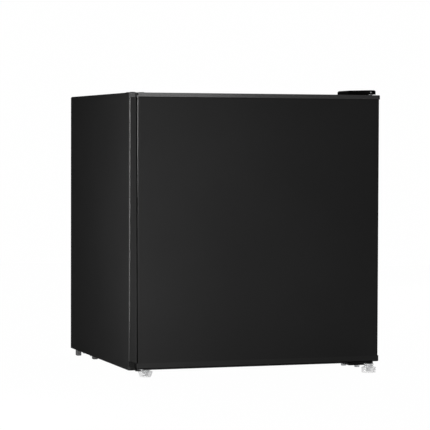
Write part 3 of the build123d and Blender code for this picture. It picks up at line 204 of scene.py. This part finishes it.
# %% [markdown]
# ## The stage and the light
# The photograph is a cut-out on white. The floor and the backdrop are made white to the camera
# and to glossy and clear surfaces through Light Path, so no extra light falls on the fridge, and
# part of the floor stays an ordinary diffuse surface, which keeps the soft shadow under it.

# %% Floor, backdrop and room
FLOOR_REACH = 14.0
BACKDROP_AWAY = 3.0
BACKDROP_WIDE = 3.2
BACKDROP_HIGH = 2.4
FLOOR_WHITE = 0.99
BACKDROP_WHITE = 0.995
MIRRORED_SHARE = 0.3
ROOM_STRENGTH = 0.05
STAGE_DARKEST, STAGE_PALEST = (0.86, 0.86, 0.86, 1), (0.9, 0.9, 0.9, 1)
WHITE = (1, 1, 1, 1)


def shown_white(finish):
    """Where the white is seen: fully by the camera and through glass, and softly in reflections."""
    camera_ray, glossy_ray, clear_ray = (
        finish.node("ShaderNodeLightPath", {}, {}, ray)
        for ray in ("Is Camera Ray", "Is Glossy Ray", "Is Transmission Ray")
    )
    direct = finish.node("ShaderNodeMath", {"operation": "MAXIMUM"}, {0: camera_ray, 1: clear_ray})
    mirrored = glossy_ray * MIRRORED_SHARE
    return finish.node("ShaderNodeMath", {"operation": "MAXIMUM"}, {0: direct, 1: mirrored})


def stage_paint(name, whiteness):
    paint = Finish(name, Roughness=0.9)
    cloud = paint.noise(scale=3.0)
    paint.feed("Base Color", paint.blend(cloud, STAGE_DARKEST, STAGE_PALEST))
    glow = paint.node("ShaderNodeEmission", {}, {"Color": WHITE, "Strength": 1.0})
    body = Value(paint, paint.shader.outputs[0])
    share = shown_white(paint) * whiteness
    mixed = paint.node("ShaderNodeMixShader", {}, {0: share, 1: body, 2: glow})
    paint.tree.links.new(mixed.socket, paint.tree.nodes["Material Output"].inputs[0])
    return paint.material


def stage_sheet(name, matrix, across, along, whiteness):
    mesh = bpy.data.meshes.new(name)
    shape = bmesh.new()
    bmesh.ops.create_grid(shape, x_segments=1, y_segments=1, size=0.5)
    bmesh.ops.scale(shape, vec=(across, along, 1), verts=shape.verts)
    bmesh.ops.transform(shape, matrix=matrix, verts=shape.verts)
    shape.to_mesh(mesh)
    shape.free()
    sheet = bpy.data.objects.new(name, mesh)
    bpy.context.scene.collection.objects.link(sheet)
    sheet.data.materials.append(stage_paint(name + "_paint", whiteness))
    return sheet


stage_sheet("studio_floor", Matrix.Identity(4), 2 * FLOOR_REACH, 2 * FLOOR_REACH, FLOOR_WHITE)
level_ahead = Vector((math.sin(YAW), math.cos(YAW), 0))
standing = Matrix((level_right, Vector((0, 0, 1)), -level_ahead)).transposed().to_4x4()
standing.translation = level_ahead * BACKDROP_AWAY + Vector((0, 0, BACKDROP_HIGH / 2))
stage_sheet("studio_backdrop", standing, BACKDROP_WIDE, BACKDROP_HIGH, BACKDROP_WHITE)

room = bpy.data.worlds.new("studio_room")
room.use_nodes = True
bpy.context.scene.world = room
# A finish without a material, so that its node method can serve the room's own tree.
room_nodes = Finish.__new__(Finish)
room_nodes.tree = room.node_tree
room_light = room.node_tree.nodes["Background"]
room_light.inputs["Color"].default_value = WHITE
seen_share = shown_white(room_nodes)
room_level = seen_share * (1 - ROOM_STRENGTH) + ROOM_STRENGTH
room.node_tree.links.new(room_level.socket, room_light.inputs["Strength"])
print("stage ready")

# %% [markdown]
# ## The lamps
# A black object shows its lamps more than its own colour. A tall strip at the left grades the side
# and draws the bright line on the left front bends, and a small lamp above the front lights the
# upper cap. Three large soft lamps above, behind and at the right keep the other sides from going
# flat. Area lamps are used because their size sets how soft each edge of light is.

# %% Lamps
LAMPS = {
    # name: (place, aim, width, height, watts)
    "strip_left": ((-0.74, -0.68, 0.27), (-0.22, -0.21, 0.27), 0.14, 0.5, 6.2),
    "brow_light": ((0.18, -1.32, 1.42), (-0.1, -0.236, 0.49), 0.4, 0.4, 2.3),
    "top_soft": ((0.38, 0.38, 2.2), (0, 0, 0.3), 1.1, 1.1, 7.0),
    "rear_soft": ((0.8, 1.7, 2.0), (0, 0.2, 0.25), 1.8, 1.8, 20.0),
    "right_soft": ((1.5, 1.3, 0.8), (0.22, 0.05, 0.25), 1.0, 1.0, 12.0),
}

for name, (place, aim, width, height, watts) in LAMPS.items():
    lamp = bpy.data.lights.new(name, "AREA")
    lamp.shape = "RECTANGLE"
    lamp.size, lamp.size_y, lamp.energy = width, height, watts
    holder = bpy.data.objects.new(name, lamp)
    toward = Vector(aim) - Vector(place)
    holder.matrix_world = toward.to_track_quat("-Z", "Y").to_matrix().to_4x4()
    holder.location = place
    bpy.context.scene.collection.objects.link(holder)
print("lamps", list(LAMPS))

# %% [markdown]
# ## The black finishes
# The cabinet and the door skin are powder-coated steel: a satin black with a very fine orange
# peel. The caps and the hinge cover are moulded in black plastic with a finer grain. One flat
# colour would do from afar, but it shows no surface up close, so each finish has a cloudy pattern
# for its tone and a fine one for its roughness and bump.

# %% Satin black paint and moulded plastic
EDGE_ROUGHNESS = 0.12
FINE_DEPTH = 0.03 * MM
SKIN_PEEL = 900.0
FINE_GRAIN, COARSE_GRAIN = 2200.0, 1500.0
# Black used only for painted shade, blended into the base colour of fold lines, seams and rims.
PAINTED_SHADE_BLACK = (0, 0, 0, 1)


def satin_paint(name, colour, smoothest, gloss, peel_scale, peel_depth=FINE_DEPTH):
    paint = Finish(name, Specular_IOR_Level=gloss, Coat_Roughness=EDGE_ROUGHNESS)
    cloud = paint.noise(scale=5.0, detail=3.0)
    peel = paint.noise(scale=peel_scale)
    paint.tone = paint.mottle(cloud, colour, dark=0.86, light=1.14)
    paint.feed("Base Color", paint.tone)
    paint.roughen(smoothest, (cloud, 0.06), (peel, 0.04))
    paint.bump(peel, peel_depth)
    return paint


def moulded_plastic(name, colour, smoothest, grain_scale, grain_depth=FINE_DEPTH, gloss=0.5):
    plastic = Finish(name, Specular_IOR_Level=gloss, Coat_Roughness=EDGE_ROUGHNESS)
    grain = plastic.noise(scale=grain_scale, detail=3.0)
    cloud = plastic.noise(scale=14.0)
    plastic.tone = plastic.mottle(cloud, colour, dark=0.93, light=1.05)
    plastic.feed("Base Color", plastic.tone)
    plastic.grip = plastic.roughen(smoothest, (grain, 0.12))
    plastic.bump(grain, grain_depth)
    return plastic


print("makers of black finishes ready")

# %% [markdown]
# ## The bent front edges
# Each upright front edge of a skin is a bend a few millimetres round. The left ones carry a thin
# bright line, with a dark line of painted shade beside it where the sheet turns back. More lamps
# could draw them, but would grey the flat faces too. So a mask on Object coordinates gives the
# bend a glossier coat, or a darker paint that is painted shade. Such lines are part of the finish
# and stay where they are in every view.

# %% Masks for the front corners and a cap's rim, for a glossier coat and for painted shade
JUST_AHEAD = -1.0 * MM
# How far the painted shade darkens a fold line or the door's top seam.
PAINTED_SHADE_DEPTH = 0.9
# Reach and strength of the painted shade on a cap's ends and lower lip.
CAP_END_SHADE, CAP_LIP_SHADE, RIM_SHADE_DEPTH = 3.0 * MM, 1.4 * MM, 0.85


def corner_band(finish, node, bend, near, far, left_only=False):
    """A mask of a node's upright front corners, between two distances back from its front."""
    low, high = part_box(node)
    across = finish.axis(X)
    back = finish.axis(Y) - low.y
    corner = across < low.x + bend if left_only else abs(across) > high.x - bend
    return (back > near) * (back < far) * corner


def paint_rim_shade(paint, node):
    """Painted shade on the rim of a cap, its two ends and its lower lip: the base colour is darkened."""
    low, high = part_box(node)
    rim = (abs(paint.axis(X)) > high.x - CAP_END_SHADE) + (paint.axis(Z) < low.z + CAP_LIP_SHADE)
    paint.feed("Base Color", paint.blend(rim * RIM_SHADE_DEPTH, paint.tone, PAINTED_SHADE_BLACK))


print("masks ready")

# %% [markdown]
# ## The cabinet's and the door's paint
# Both skins are nearly the same satin black. Their bright lines fade towards the floor, and the
# door's narrows too, so depth and strength follow the height, as short formulas, and not a picture.

# %% The cabinet's paint
CABINET_BLACK = grey(0.0256)
CABINET_BEND = 3.0 * MM
CABINET_LINE_LEAN = 0.7 * MM
CABINET_LINE_FOOT, CABINET_LINE_GAIN = 0.3, 1.4

cabinet_paint = satin_paint("cabinet_satin", CABINET_BLACK, smoothest=0.5, gloss=0.0, peel_scale=SKIN_PEEL)
rise = cabinet_paint.axis(Z)
line_start = rise * CABINET_LINE_LEAN
line = corner_band(cabinet_paint, "cabinet_wrapper", CABINET_BEND, line_start, CABINET_BEND, left_only=True)
cabinet_paint.feed("Coat Weight", line * (CABINET_LINE_FOOT + rise * CABINET_LINE_GAIN))
print("cabinet paint ready")

# %% The door's paint, with painted shade along its corner fold and under its top cap
DOOR_BLACK = grey(0.0252)
DOOR_BEND = 4.0 * MM
DOOR_LINE_GAIN = 2.0
CREST_FOOT, CREST_LEAN, CREST_CURVE = 0.03 * MM, 2.5 * MM, 2.45 * MM
FOLD_SHADE_FOOT, FOLD_SHADE_CURVE = 1.35 * MM, 15.0 * MM
SEAM_SHADE_HEIGHT = 0.6 * MM

door_paint = satin_paint("door_satin", DOOR_BLACK, smoothest=0.5, gloss=0.0, peel_scale=SKIN_PEEL)
rise = door_paint.axis(Z)
crest = rise * CREST_LEAN - rise * rise * CREST_CURVE + CREST_FOOT
fold_shade_end = rise * rise * FOLD_SHADE_CURVE + FOLD_SHADE_FOOT
line = corner_band(door_paint, "door_skin", DOOR_BEND, JUST_AHEAD, crest, left_only=True)
door_paint.feed("Coat Weight", line * (rise * DOOR_LINE_GAIN))
# Painted shade: the base colour darkens in a band on the bend, behind the bright line.
fold_shade_mask = corner_band(door_paint, "door_skin", DOOR_BEND, crest, fold_shade_end)
# Painted shade: the top strip of the skin, just under the cap, is darkened.
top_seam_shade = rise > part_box("door_skin")[1].z - SEAM_SHADE_HEIGHT
door_paint.feed("Base Color", door_paint.blend((fold_shade_mask + top_seam_shade) * PAINTED_SHADE_DEPTH, door_paint.tone, PAINTED_SHADE_BLACK))
print("door paint ready")

# %% [markdown]
# ## The caps and the other black pieces
# The door's caps are mouldings that close the folded skin above and below. The upper one is
# polished, with painted shade and a rougher surface round its corners, and the lower one is dull
# all over with a rim darkened by painted shade.
# The hinge cover, the compressor and the condenser are plainer, so one call makes each.

# %% Caps, hinge cover, bracket, compressor and rear feet
CAP_BEND = 5.0 * MM
CAP_CREST, CAP_FOLD_SHADE_END = 0.6 * MM, 3.3 * MM
CAP_LINE, FOLD_DULLNESS = 0.5, 0.6

top_plastic = moulded_plastic("upper_cap_moulding", grey(0.02), 0.21, FINE_GRAIN, gloss=0.6)
# Painted shade: the base colour darkens in a band round the cap's corners, which are also rougher.
fold_shade_mask = corner_band(top_plastic, "door_top_cap", CAP_BEND, CAP_CREST, CAP_FOLD_SHADE_END)
top_plastic.feed("Roughness", top_plastic.grip + fold_shade_mask * FOLD_DULLNESS)
top_plastic.feed("Base Color", top_plastic.blend(fold_shade_mask * PAINTED_SHADE_DEPTH, top_plastic.tone, PAINTED_SHADE_BLACK))
line = corner_band(top_plastic, "door_top_cap", CAP_BEND, JUST_AHEAD, CAP_CREST, left_only=True)
top_plastic.feed("Coat Weight", line * CAP_LINE)

cap_plastic = moulded_plastic("lower_cap_moulding", grey(0.029), 0.49, FINE_GRAIN, gloss=0.02)
# Painted shade round the lower cap's two ends and its lower lip.
paint_rim_shade(cap_plastic, "door_bottom_cap")

satin_paint("bracket_black", grey(0.014), smoothest=0.45, gloss=0.1, peel_scale=700.0)
moulded_plastic("cover_moulding", grey(0.008), 0.49, FINE_GRAIN, gloss=0.02)
satin_paint("compressor_enamel", (0.006, 0.006, 0.0065), 0.25, 0.5, peel_scale=260.0, peel_depth=0.05 * MM)
satin_paint("condenser_enamel", grey(0.007), smoothest=0.37, gloss=0.4, peel_scale=500.0)
moulded_plastic("black_moulding", grey(0.02), 0.26, FINE_GRAIN, gloss=0.6)
moulded_plastic("foot_grey", grey(0.14), 0.54, COARSE_GRAIN, grain_depth=0.04 * MM)
print("black finishes ready")

# %% [markdown]
# ## The white and clear plastics
# The food space is vacuum-formed from glossy white sheet, which is never quite flat. The small
# mouldings are duller and slightly grained. The front feet are milky plastic that lets light
# through, so they are part clear with an index near that of air, which keeps them pale. The bins
# and the flap are clear plastic with a cool tint, and the shelf is float glass.

# %% White sheet, white mouldings, clear plastic and glass
def glossy_sheet(name, colour):
    sheet = Finish(name, Specular_IOR_Level=0.5)
    wave = sheet.noise(scale=26.0, detail=1.0)
    speck = sheet.noise(scale=700.0)
    sheet.feed("Base Color", sheet.mottle(wave, colour, dark=0.97, light=1.02))
    sheet.roughen(0.2, (wave, 0.06), (speck, 0.05))
    sheet.bump(wave, distance=0.6 * MM, strength=0.5)


def milky_plastic(name, colour, clearness):
    milky = Finish(name, Transmission_Weight=clearness, IOR=1.05, Specular_IOR_Level=0.3)
    cloud = milky.noise(scale=300.0)
    milky.feed("Base Color", milky.mottle(cloud, colour, dark=0.96, light=1.02))
    milky.roughen(0.3, (cloud, 0.1))


def clear_sheet(name, colour, smoothest, index):
    clear = Finish(name, Transmission_Weight=1.0, IOR=index)
    wave = clear.noise(scale=30.0, detail=1.0)
    clear.feed("Base Color", clear.mottle(wave, colour, dark=0.98, light=1.0))
    clear.roughen(smoothest, (wave, 0.03))
    clear.bump(wave, distance=0.3 * MM, strength=0.4)


glossy_sheet("liner_white", (0.84, 0.845, 0.84))
moulded_plastic("white_moulding", (0.8, 0.8, 0.785), 0.36, COARSE_GRAIN)
milky_plastic("foot_white", grey(0.95), clearness=0.7)
moulded_plastic("switch_cream", (0.62, 0.58, 0.47), 0.44, COARSE_GRAIN)
clear_sheet("clear_plastic", (0.86, 0.93, 0.96), smoothest=0.05, index=1.3)
clear_sheet("float_glass", (0.86, 0.95, 0.92), smoothest=0.0, index=1.45)
print("white and clear finishes ready")

# %% [markdown]
# ## The metals
# Galvanised sheet shows a spangle of flat crystals, which a Voronoi pattern gives at once. The
# bottom pan is the same sheet, with its front flange painted like the cabinet. Turned and pressed
# small parts are bright zinc with fine lines, made by a noise that is stretched. Copper tubes
# darken unevenly with handling, and the chiller is soft, finely brushed aluminium.

# %% Galvanised sheet, zinc, copper, aluminium and iron
PAINTED_FLANGE = 1.5 * MM
ZINC_SHEET = (0.6, 0.61, 0.62)
LINE_DEPTH = 0.02 * MM


def spangled_steel(name, colour):
    steel = Finish(name, Metallic=1.0)
    crystal = steel.cells(scale=70.0)
    stain = steel.noise(scale=6.0, detail=3.0)
    lit = steel.mottle(crystal, colour, dark=0.78, light=1.12)
    steel.tone = steel.blend(stain * 0.3, lit, shade(colour, 0.7))
    steel.feed("Base Color", steel.tone)
    steel.roughen(0.36, (crystal, 0.14), (stain, 0.06))
    return steel


def paint_front(steel, node, colour):
    """The front flange, seen below the open door, is painted with the cabinet."""
    bare = steel.axis(Y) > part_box(node)[0].y + PAINTED_FLANGE
    steel.feed("Base Color", steel.blend(bare, colour, steel.tone))
    steel.feed("Metallic", bare)


def lined_metal(name, colour, smoothest, lines, depth=LINE_DEPTH, dark=0.8):
    metal = Finish(name, Metallic=1.0)
    line = metal.noise(scale=1.0, where=metal.stretched(lines))
    stain = metal.noise(scale=30.0, detail=3.0)
    metal.feed("Base Color", metal.mottle(stain, colour, dark, light=1.08))
    metal.roughen(smoothest, (line, 0.12), (stain, 0.06))
    metal.bump(line, depth)


spangled_steel("galvanised", ZINC_SHEET)
pan_steel = spangled_steel("painted_front_pan", ZINC_SHEET)
paint_front(pan_steel, "bottom_pan", shade(CABINET_BLACK, 1.0))
lined_metal("bright_zinc", (0.74, 0.75, 0.76), 0.26, lines=(300, 300, 4000))
lined_metal("copper", (0.72, 0.36, 0.2), 0.26, lines=(900, 900, 900), dark=0.6)
lined_metal("chiller_aluminium", (0.78, 0.79, 0.8), 0.3, lines=(2500, 60, 2500), dark=0.9)
lined_metal("dark_iron", (0.22, 0.22, 0.23), 0.42, lines=(700, 700, 700), depth=0.05 * MM, dark=0.7)
print("metal finishes ready")

# %% [markdown]
# ## Rubber and foam
# The seal and the grommets are soft dark vinyl with a dull skin. The foam is only seen when the
# fridge is taken apart: a cream mass of small bubbles, which a Voronoi distance gives.

# %% Seal rubber, magnet strip and foam
def dull_rubber(name, colour):
    rubber = Finish(name, Specular_IOR_Level=0.3)
    skin = rubber.noise(scale=1100.0, detail=3.0)
    bloom = rubber.noise(scale=20.0)
    rubber.feed("Base Color", rubber.mottle(bloom, colour, dark=0.85, light=1.2))
    rubber.roughen(0.58, (skin, 0.14))
    rubber.bump(skin, distance=0.04 * MM)


def blown_foam(name, colour):
    foam = Finish(name, Specular_IOR_Level=0.2)
    bubble = foam.cells(scale=900.0, output="Distance")
    skin = foam.noise(scale=12.0, detail=3.0)
    foam.feed("Base Color", foam.mottle(skin, colour, dark=0.85, light=1.05))
    foam.roughen(0.8, (bubble, 0.15))
    foam.bump(bubble, distance=0.4 * MM)


dull_rubber("seal_vinyl", (0.022, 0.022, 0.023))
dull_rubber("grommet_rubber", grey(0.02))
dull_rubber("magnet_strip", (0.05, 0.045, 0.04))
blown_foam("blown_foam", (0.78, 0.66, 0.38))
print("finishes", len(Finish.made))

# %% [markdown]
# ## Putting the finishes on
# Each CAD node takes one finish. The list is by finish, so that a change of mind about, say, the
# liner is one edit.

# %% Finishes on the CAD nodes
WORN_BY = {
    "cabinet_satin": ("cabinet_wrapper",),
    "door_satin": ("door_skin",),
    "bracket_black": ("top_hinge_plate", "bottom_hinge_bracket"),
    "upper_cap_moulding": ("door_top_cap",),
    "black_moulding": ("door_cap_plugs", "relay_cover", "hinge_hole_plugs"),
    "lower_cap_moulding": ("door_bottom_cap",),
    "cover_moulding": ("top_hinge_cover",),
    "compressor_enamel": ("compressor_lower_shell", "compressor_upper_shell"),
    "condenser_enamel": ("condenser_tubes", "condenser_wires", "discharge_line"),
    "foot_grey": ("rear_feet",),
    "liner_white": ("inner_liner", "door_liner"),
    "white_moulding": (
        "chiller_frame", "tray_rails", "drip_tray", "shelf_trim", "thermostat_housing",
        "thermostat_knob", "door_hinge_bushes",
    ),
    "foot_white": ("left_foot_knob", "right_foot_knob"),
    "switch_cream": ("thermostat_switch",),
    "clear_plastic": ("chiller_flap", "upper_door_bin", "lower_door_bin"),
    "float_glass": ("shelf_glass",),
    "galvanised": ("back_panel", "base_plate", "compressor_mounts", "condenser_brackets"),
    "painted_front_pan": ("bottom_pan",),
    "bright_zinc": (
        "rear_screws", "base_plate_screws", "compressor_bolts", "liner_screws", "top_hinge_pin",
        "top_hinge_screws", "bottom_hinge_pin", "bottom_hinge_screws", "left_foot_stud",
        "left_foot_insert", "right_foot_insert",
    ),
    "copper": ("filter_drier", "capillary_tube", "suction_line", "sensor_tube"),
    "chiller_aluminium": ("evaporator",),
    "dark_iron": ("motor_pump",),
    "seal_vinyl": ("door_gasket",),
    "grommet_rubber": ("compressor_grommets", "cord_gland"),
    "magnet_strip": ("gasket_magnets",),
    "blown_foam": ("cabinet_foam", "door_foam"),
}
dressed = set()
for finish, wearers in WORN_BY.items():
    for wearer in wearers:
        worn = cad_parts[wearer].data.materials
        worn.clear()
        worn.append(Finish.made[finish].material)
        dressed.add(wearer)
print("dressed", len(dressed), "of", len(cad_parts), "left", sorted(set(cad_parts) - dressed))

# %% [markdown]
# ## Helpers for the small forms
# A new piece is a mesh made with bmesh operators, in metres and in the same frame as the CAD, so
# its object stays at the origin. It rides on the body that carries it, and where it stands for a
# CAD node, that node is hidden. Positions are read from the CAD, never typed twice.

# %% Making a piece, and finding the solids of a node
WELD = 0.01 * MM


def dress(name, shape, finish, body, *stands_for):
    bmesh.ops.recalc_face_normals(shape, faces=shape.faces)
    mesh = bpy.data.meshes.new(name)
    shape.to_mesh(mesh)
    shape.free()
    mesh.materials.append(Finish.made[finish].material)
    piece = bpy.data.objects.new(name, mesh)
    bpy.context.scene.collection.objects.link(piece)
    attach(piece, body)
    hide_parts(*stands_for)
    print(name, "faces", len(mesh.polygons), "on", body)
    return piece


def cad_shape(node):
    """A working copy of a CAD node's surface, with its split corners joined."""
    shape = bmesh.new()
    shape.from_mesh(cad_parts[node].data)
    bmesh.ops.transform(shape, matrix=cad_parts[node].matrix_world, verts=shape.verts)
    bmesh.ops.remove_doubles(shape, verts=shape.verts, dist=WELD)
    return shape


def solid_boxes(node):
    """The lowest and highest corner of each separate solid in a CAD node."""
    shape = cad_shape(node)
    waiting, boxes = set(shape.verts), []
    while waiting:
        solid = [waiting.pop()]
        for vert in solid:
            for edge in vert.link_edges:
                other = edge.other_vert(vert)
                if other in waiting:
                    waiting.remove(other)
                    solid.append(other)
        sides = list(zip(*(vert.co for vert in solid)))
        boxes.append((Vector(map(min, sides)), Vector(map(max, sides))))
    shape.free()
    return boxes


def edges_among(verts):
    chosen = set(verts)
    return list({edge for vert in verts for edge in vert.link_edges if edge.other_vert(vert) in chosen})


def closed_loop(shape, places):
    """A ring of points joined by edges."""
    ring = [shape.verts.new(place) for place in places]
    for first, second in zip(ring, ring[1:] + ring[:1]):
        shape.edges.new((first, second))
    return ring


def skin_between(shape, rings, closed):
    """Bridge each ring of points to the next, and the last to the first where the run is closed."""
    loops = [edges_among(ring) for ring in rings]
    for here, there in zip(loops, loops[1:] + (loops[:1] if closed else [])):
        bmesh.ops.bridge_loops(shape, edges=here + there)


print("rear panel screws found", len(solid_boxes("rear_screws")))

# %% [markdown]
# ## Cross-recess screws
# The rear panel, the base plate and the chiller are held by pan-head screws with a cross recess.
# A real head is pressed cold from wire, and a punch makes the recess. Here three rings are bridged
# from the rim up to the cross, and on to a second cross at the recess's floor.

# %% Pan heads with a cross
HEAD_HEIGHT = 2.0 * MM
HEAD_RADIUS = 4.0 * MM
SHANK_RADIUS = 1.7 * MM
RECESS_DEPTH = 1.1 * MM
CROSS_REACH = 2.1 * MM
CROSS_HALF = 0.5 * MM
HEAD_RINGS = ((1.0, 0.0), (1.0, 0.45), (0.86, 0.8))
HEAD_SEGMENTS = 24
SHANK_SEGMENTS = 12


def cross_outline():
    """The twelve corners of the recess, in order."""
    arm = [(CROSS_REACH, -CROSS_HALF), (CROSS_REACH, CROSS_HALF), (CROSS_HALF, CROSS_HALF)]
    turn = Matrix.Rotation(math.pi / 2, 2)
    corners = []
    for quarter in range(4):
        corners += arm
        arm = [tuple(turn @ Vector(corner)) for corner in arm]
    return corners


def pan_head(shape, seat, out, shank):
    rings = []
    for width, rise in HEAD_RINGS:
        level = Matrix.Translation((0, 0, rise * HEAD_HEIGHT))
        made = bmesh.ops.create_circle(
            shape, segments=HEAD_SEGMENTS, radius=width * HEAD_RADIUS, matrix=level
        )
        rings.append(made["verts"])
    for depth in (0.0, RECESS_DEPTH):
        rings.append(closed_loop(shape, [(x, y, HEAD_HEIGHT - depth) for x, y in cross_outline()]))
    skin_between(shape, rings, False)
    for closed in (rings[0], rings[-1]):
        bmesh.ops.contextual_create(shape, geom=edges_among(closed))
    middle = Matrix.Translation((0, 0, -shank / 2))
    pin = bmesh.ops.create_cone(
        shape, cap_ends=True, segments=SHANK_SEGMENTS, radius1=SHANK_RADIUS, radius2=SHANK_RADIUS,
        depth=shank, matrix=middle,
    )
    placed = out.to_track_quat("Z", "Y").to_matrix().to_4x4()
    placed.translation = seat
    verts = [vert for ring in rings for vert in ring] + pin["verts"]
    bmesh.ops.transform(shape, matrix=placed, verts=verts)


SCREWS = {"rear_screws": (0, 1, 0), "base_plate_screws": (0, 0, -1), "liner_screws": (0, 0, -1)}
for node, outward in SCREWS.items():
    out, shape = Vector(outward), bmesh.new()
    for low, high in solid_boxes(node):
        reach = abs((high - low).dot(out))
        seat = (low + high) / 2 + out * (reach / 2 - HEAD_HEIGHT)
        pan_head(shape, seat, out, reach - HEAD_HEIGHT)
    dress(node.replace("screws", "cross_screws"), shape, "bright_zinc", "cabinet", node)

# %% [markdown]
# ## The door's seal
# The seal is an extruded vinyl section, cut to length and welded at the corners: a flat foot, a
# narrow fold that lets it give, and a soft head with two fine grooves that holds the magnet.
# The section is drawn once, set at the four mitred corners, and skinned between them.

# %% The seal's section, carried round the door
SEAL_SECTION = (
    # distance from the outer edge, height above the liner, both in millimetres
    (1.0, 0.0), (17.0, 0.0), (18.0, 0.4), (18.0, 1.2), (17.2, 1.6), (15.2, 1.8), (14.6, 2.4),
    (15.2, 3.0), (17.4, 3.2), (18.0, 3.7), (18.0, 4.6), (17.2, 5.3), (15.0, 5.5), (13.4, 5.5),
    (12.9, 5.0), (12.4, 5.5), (5.6, 5.5), (5.1, 5.0), (4.6, 5.5), (3.0, 5.5), (0.8, 5.3),
    (0.0, 4.6), (0.0, 3.7), (0.6, 3.2), (2.8, 3.0), (3.4, 2.4), (2.8, 1.8), (0.8, 1.6),
    (0.0, 1.2), (0.0, 0.4),
)
seal_low, seal_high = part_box("door_gasket")
shape = bmesh.new()
rings = []
for right_side, top_side in ((False, False), (True, False), (True, True), (False, True)):
    corner = seal_low.copy()
    inward = Vector((1, 0, 1))
    if right_side:
        corner.x, inward.x = seal_high.x, -1
    if top_side:
        corner.z, inward.z = seal_high.z, -1
    outline = [corner + inward * (step * MM) + Vector((0, rise * MM, 0)) for step, rise in SEAL_SECTION]
    rings.append(closed_loop(shape, outline))
skin_between(shape, rings, True)
dress("seal_section", shape, "seal_vinyl", "door", "door_gasket")

# %% [markdown]
# ## The thermostat's dial
# The knob's skirt carries a scale that grows from a thin mark to a thick one, for a colder
# setting, and the housing has one pip above it to read against. Such marks are usually printed.
# Here they are thin raised bars, each a cube that is scaled, moved out and turned.

# %% Marks on the knob's skirt
DIAL_MARKS = 8
DIAL_SWEEP = math.radians(300)
MARK_INNER, MARK_LENGTH = 17.2 * MM, 3.4 * MM
MARK_THIN, MARK_STEP = 0.5 * MM, 0.22 * MM
MARK_RISE = 0.2 * MM
SKIRT = 2.4 * MM
PIP = 1.4 * MM

moulded_plastic("dial_print", (0.06, 0.065, 0.07), 0.44, COARSE_GRAIN, grain_depth=0.02 * MM)
knob_low, knob_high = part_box("thermostat_knob")
knob_middle = (knob_low + knob_high) / 2
skirt_face = knob_high.y - SKIRT
shape = bmesh.new()
for number in range(DIAL_MARKS):
    width = MARK_THIN + number * MARK_STEP
    bar = Matrix.LocRotScale(
        Vector((0, 0, MARK_INNER + MARK_LENGTH / 2)), None, Vector((width, MARK_RISE, MARK_LENGTH))
    )
    angle = DIAL_SWEEP * (number / (DIAL_MARKS - 1) - 0.5)
    swing = Matrix.Rotation(angle, 4, "Y")
    home = Matrix.Translation((knob_middle.x, skirt_face, knob_middle.z))
    bmesh.ops.create_cube(shape, size=1.0, matrix=home @ swing @ bar)
dress("dial_marks", shape, "dial_print", "thermostat_knob")

shape = bmesh.new()
housing_low, housing_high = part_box("thermostat_housing")
pip_at = Vector((knob_middle.x, housing_low.y, (knob_high.z + housing_high.z) / 2))
pip = Matrix.LocRotScale(pip_at, None, Vector((PIP, MARK_RISE, PIP)))
bmesh.ops.create_cube(shape, size=1.0, matrix=pip)
dress("dial_pip", shape, "dial_print", "cabinet")

# %% [markdown]
# ## The compressor's weld
# The two halves of the pot are joined by one run of weld in the step between them. The CAD leaves
# a plain seam, so its outline is read from the upper half's lowest ring of points, and a thin
# uneven bead is carried along it.

# %% A weld bead round the pot
BEAD_RADIUS = 1.5 * MM
BEAD_SIDES = 8
BEAD_RIPPLE, RIPPLE_TURN = 0.12, math.pi / 2
BEARING_DIGITS = 3

pot = cad_shape("compressor_upper_shell")
seam = min(vert.co.z for vert in pot.verts)
rim = [vert.co.copy() for vert in pot.verts if vert.co.z - seam < WELD]
pot.free()
middle = sum(rim, Vector()) / len(rim)
outline = {}
for at in rim:
    bearing = round(math.atan2(at.y - middle.y, at.x - middle.x), BEARING_DIGITS)
    held = outline.get(bearing)
    if held is None or (at - middle).length > (held - middle).length:
        outline[bearing] = at
path = [outline[bearing] for bearing in sorted(outline)]
shape = bmesh.new()
rings = []
for number, at in enumerate(path):
    along = path[(number + 1) % len(path)] - path[number - 1]
    swell = BEAD_RADIUS * (1 + BEAD_RIPPLE * math.sin(number * RIPPLE_TURN))
    placed = along.to_track_quat("Z", "Y").to_matrix().to_4x4()
    placed.translation = at
    made = bmesh.ops.create_circle(shape, segments=BEAD_SIDES, radius=swell, matrix=placed)
    rings.append(made["verts"])
skin_between(shape, rings, True)
print("weld points", len(path))
dress("pot_weld", shape, "compressor_enamel", "cabinet")
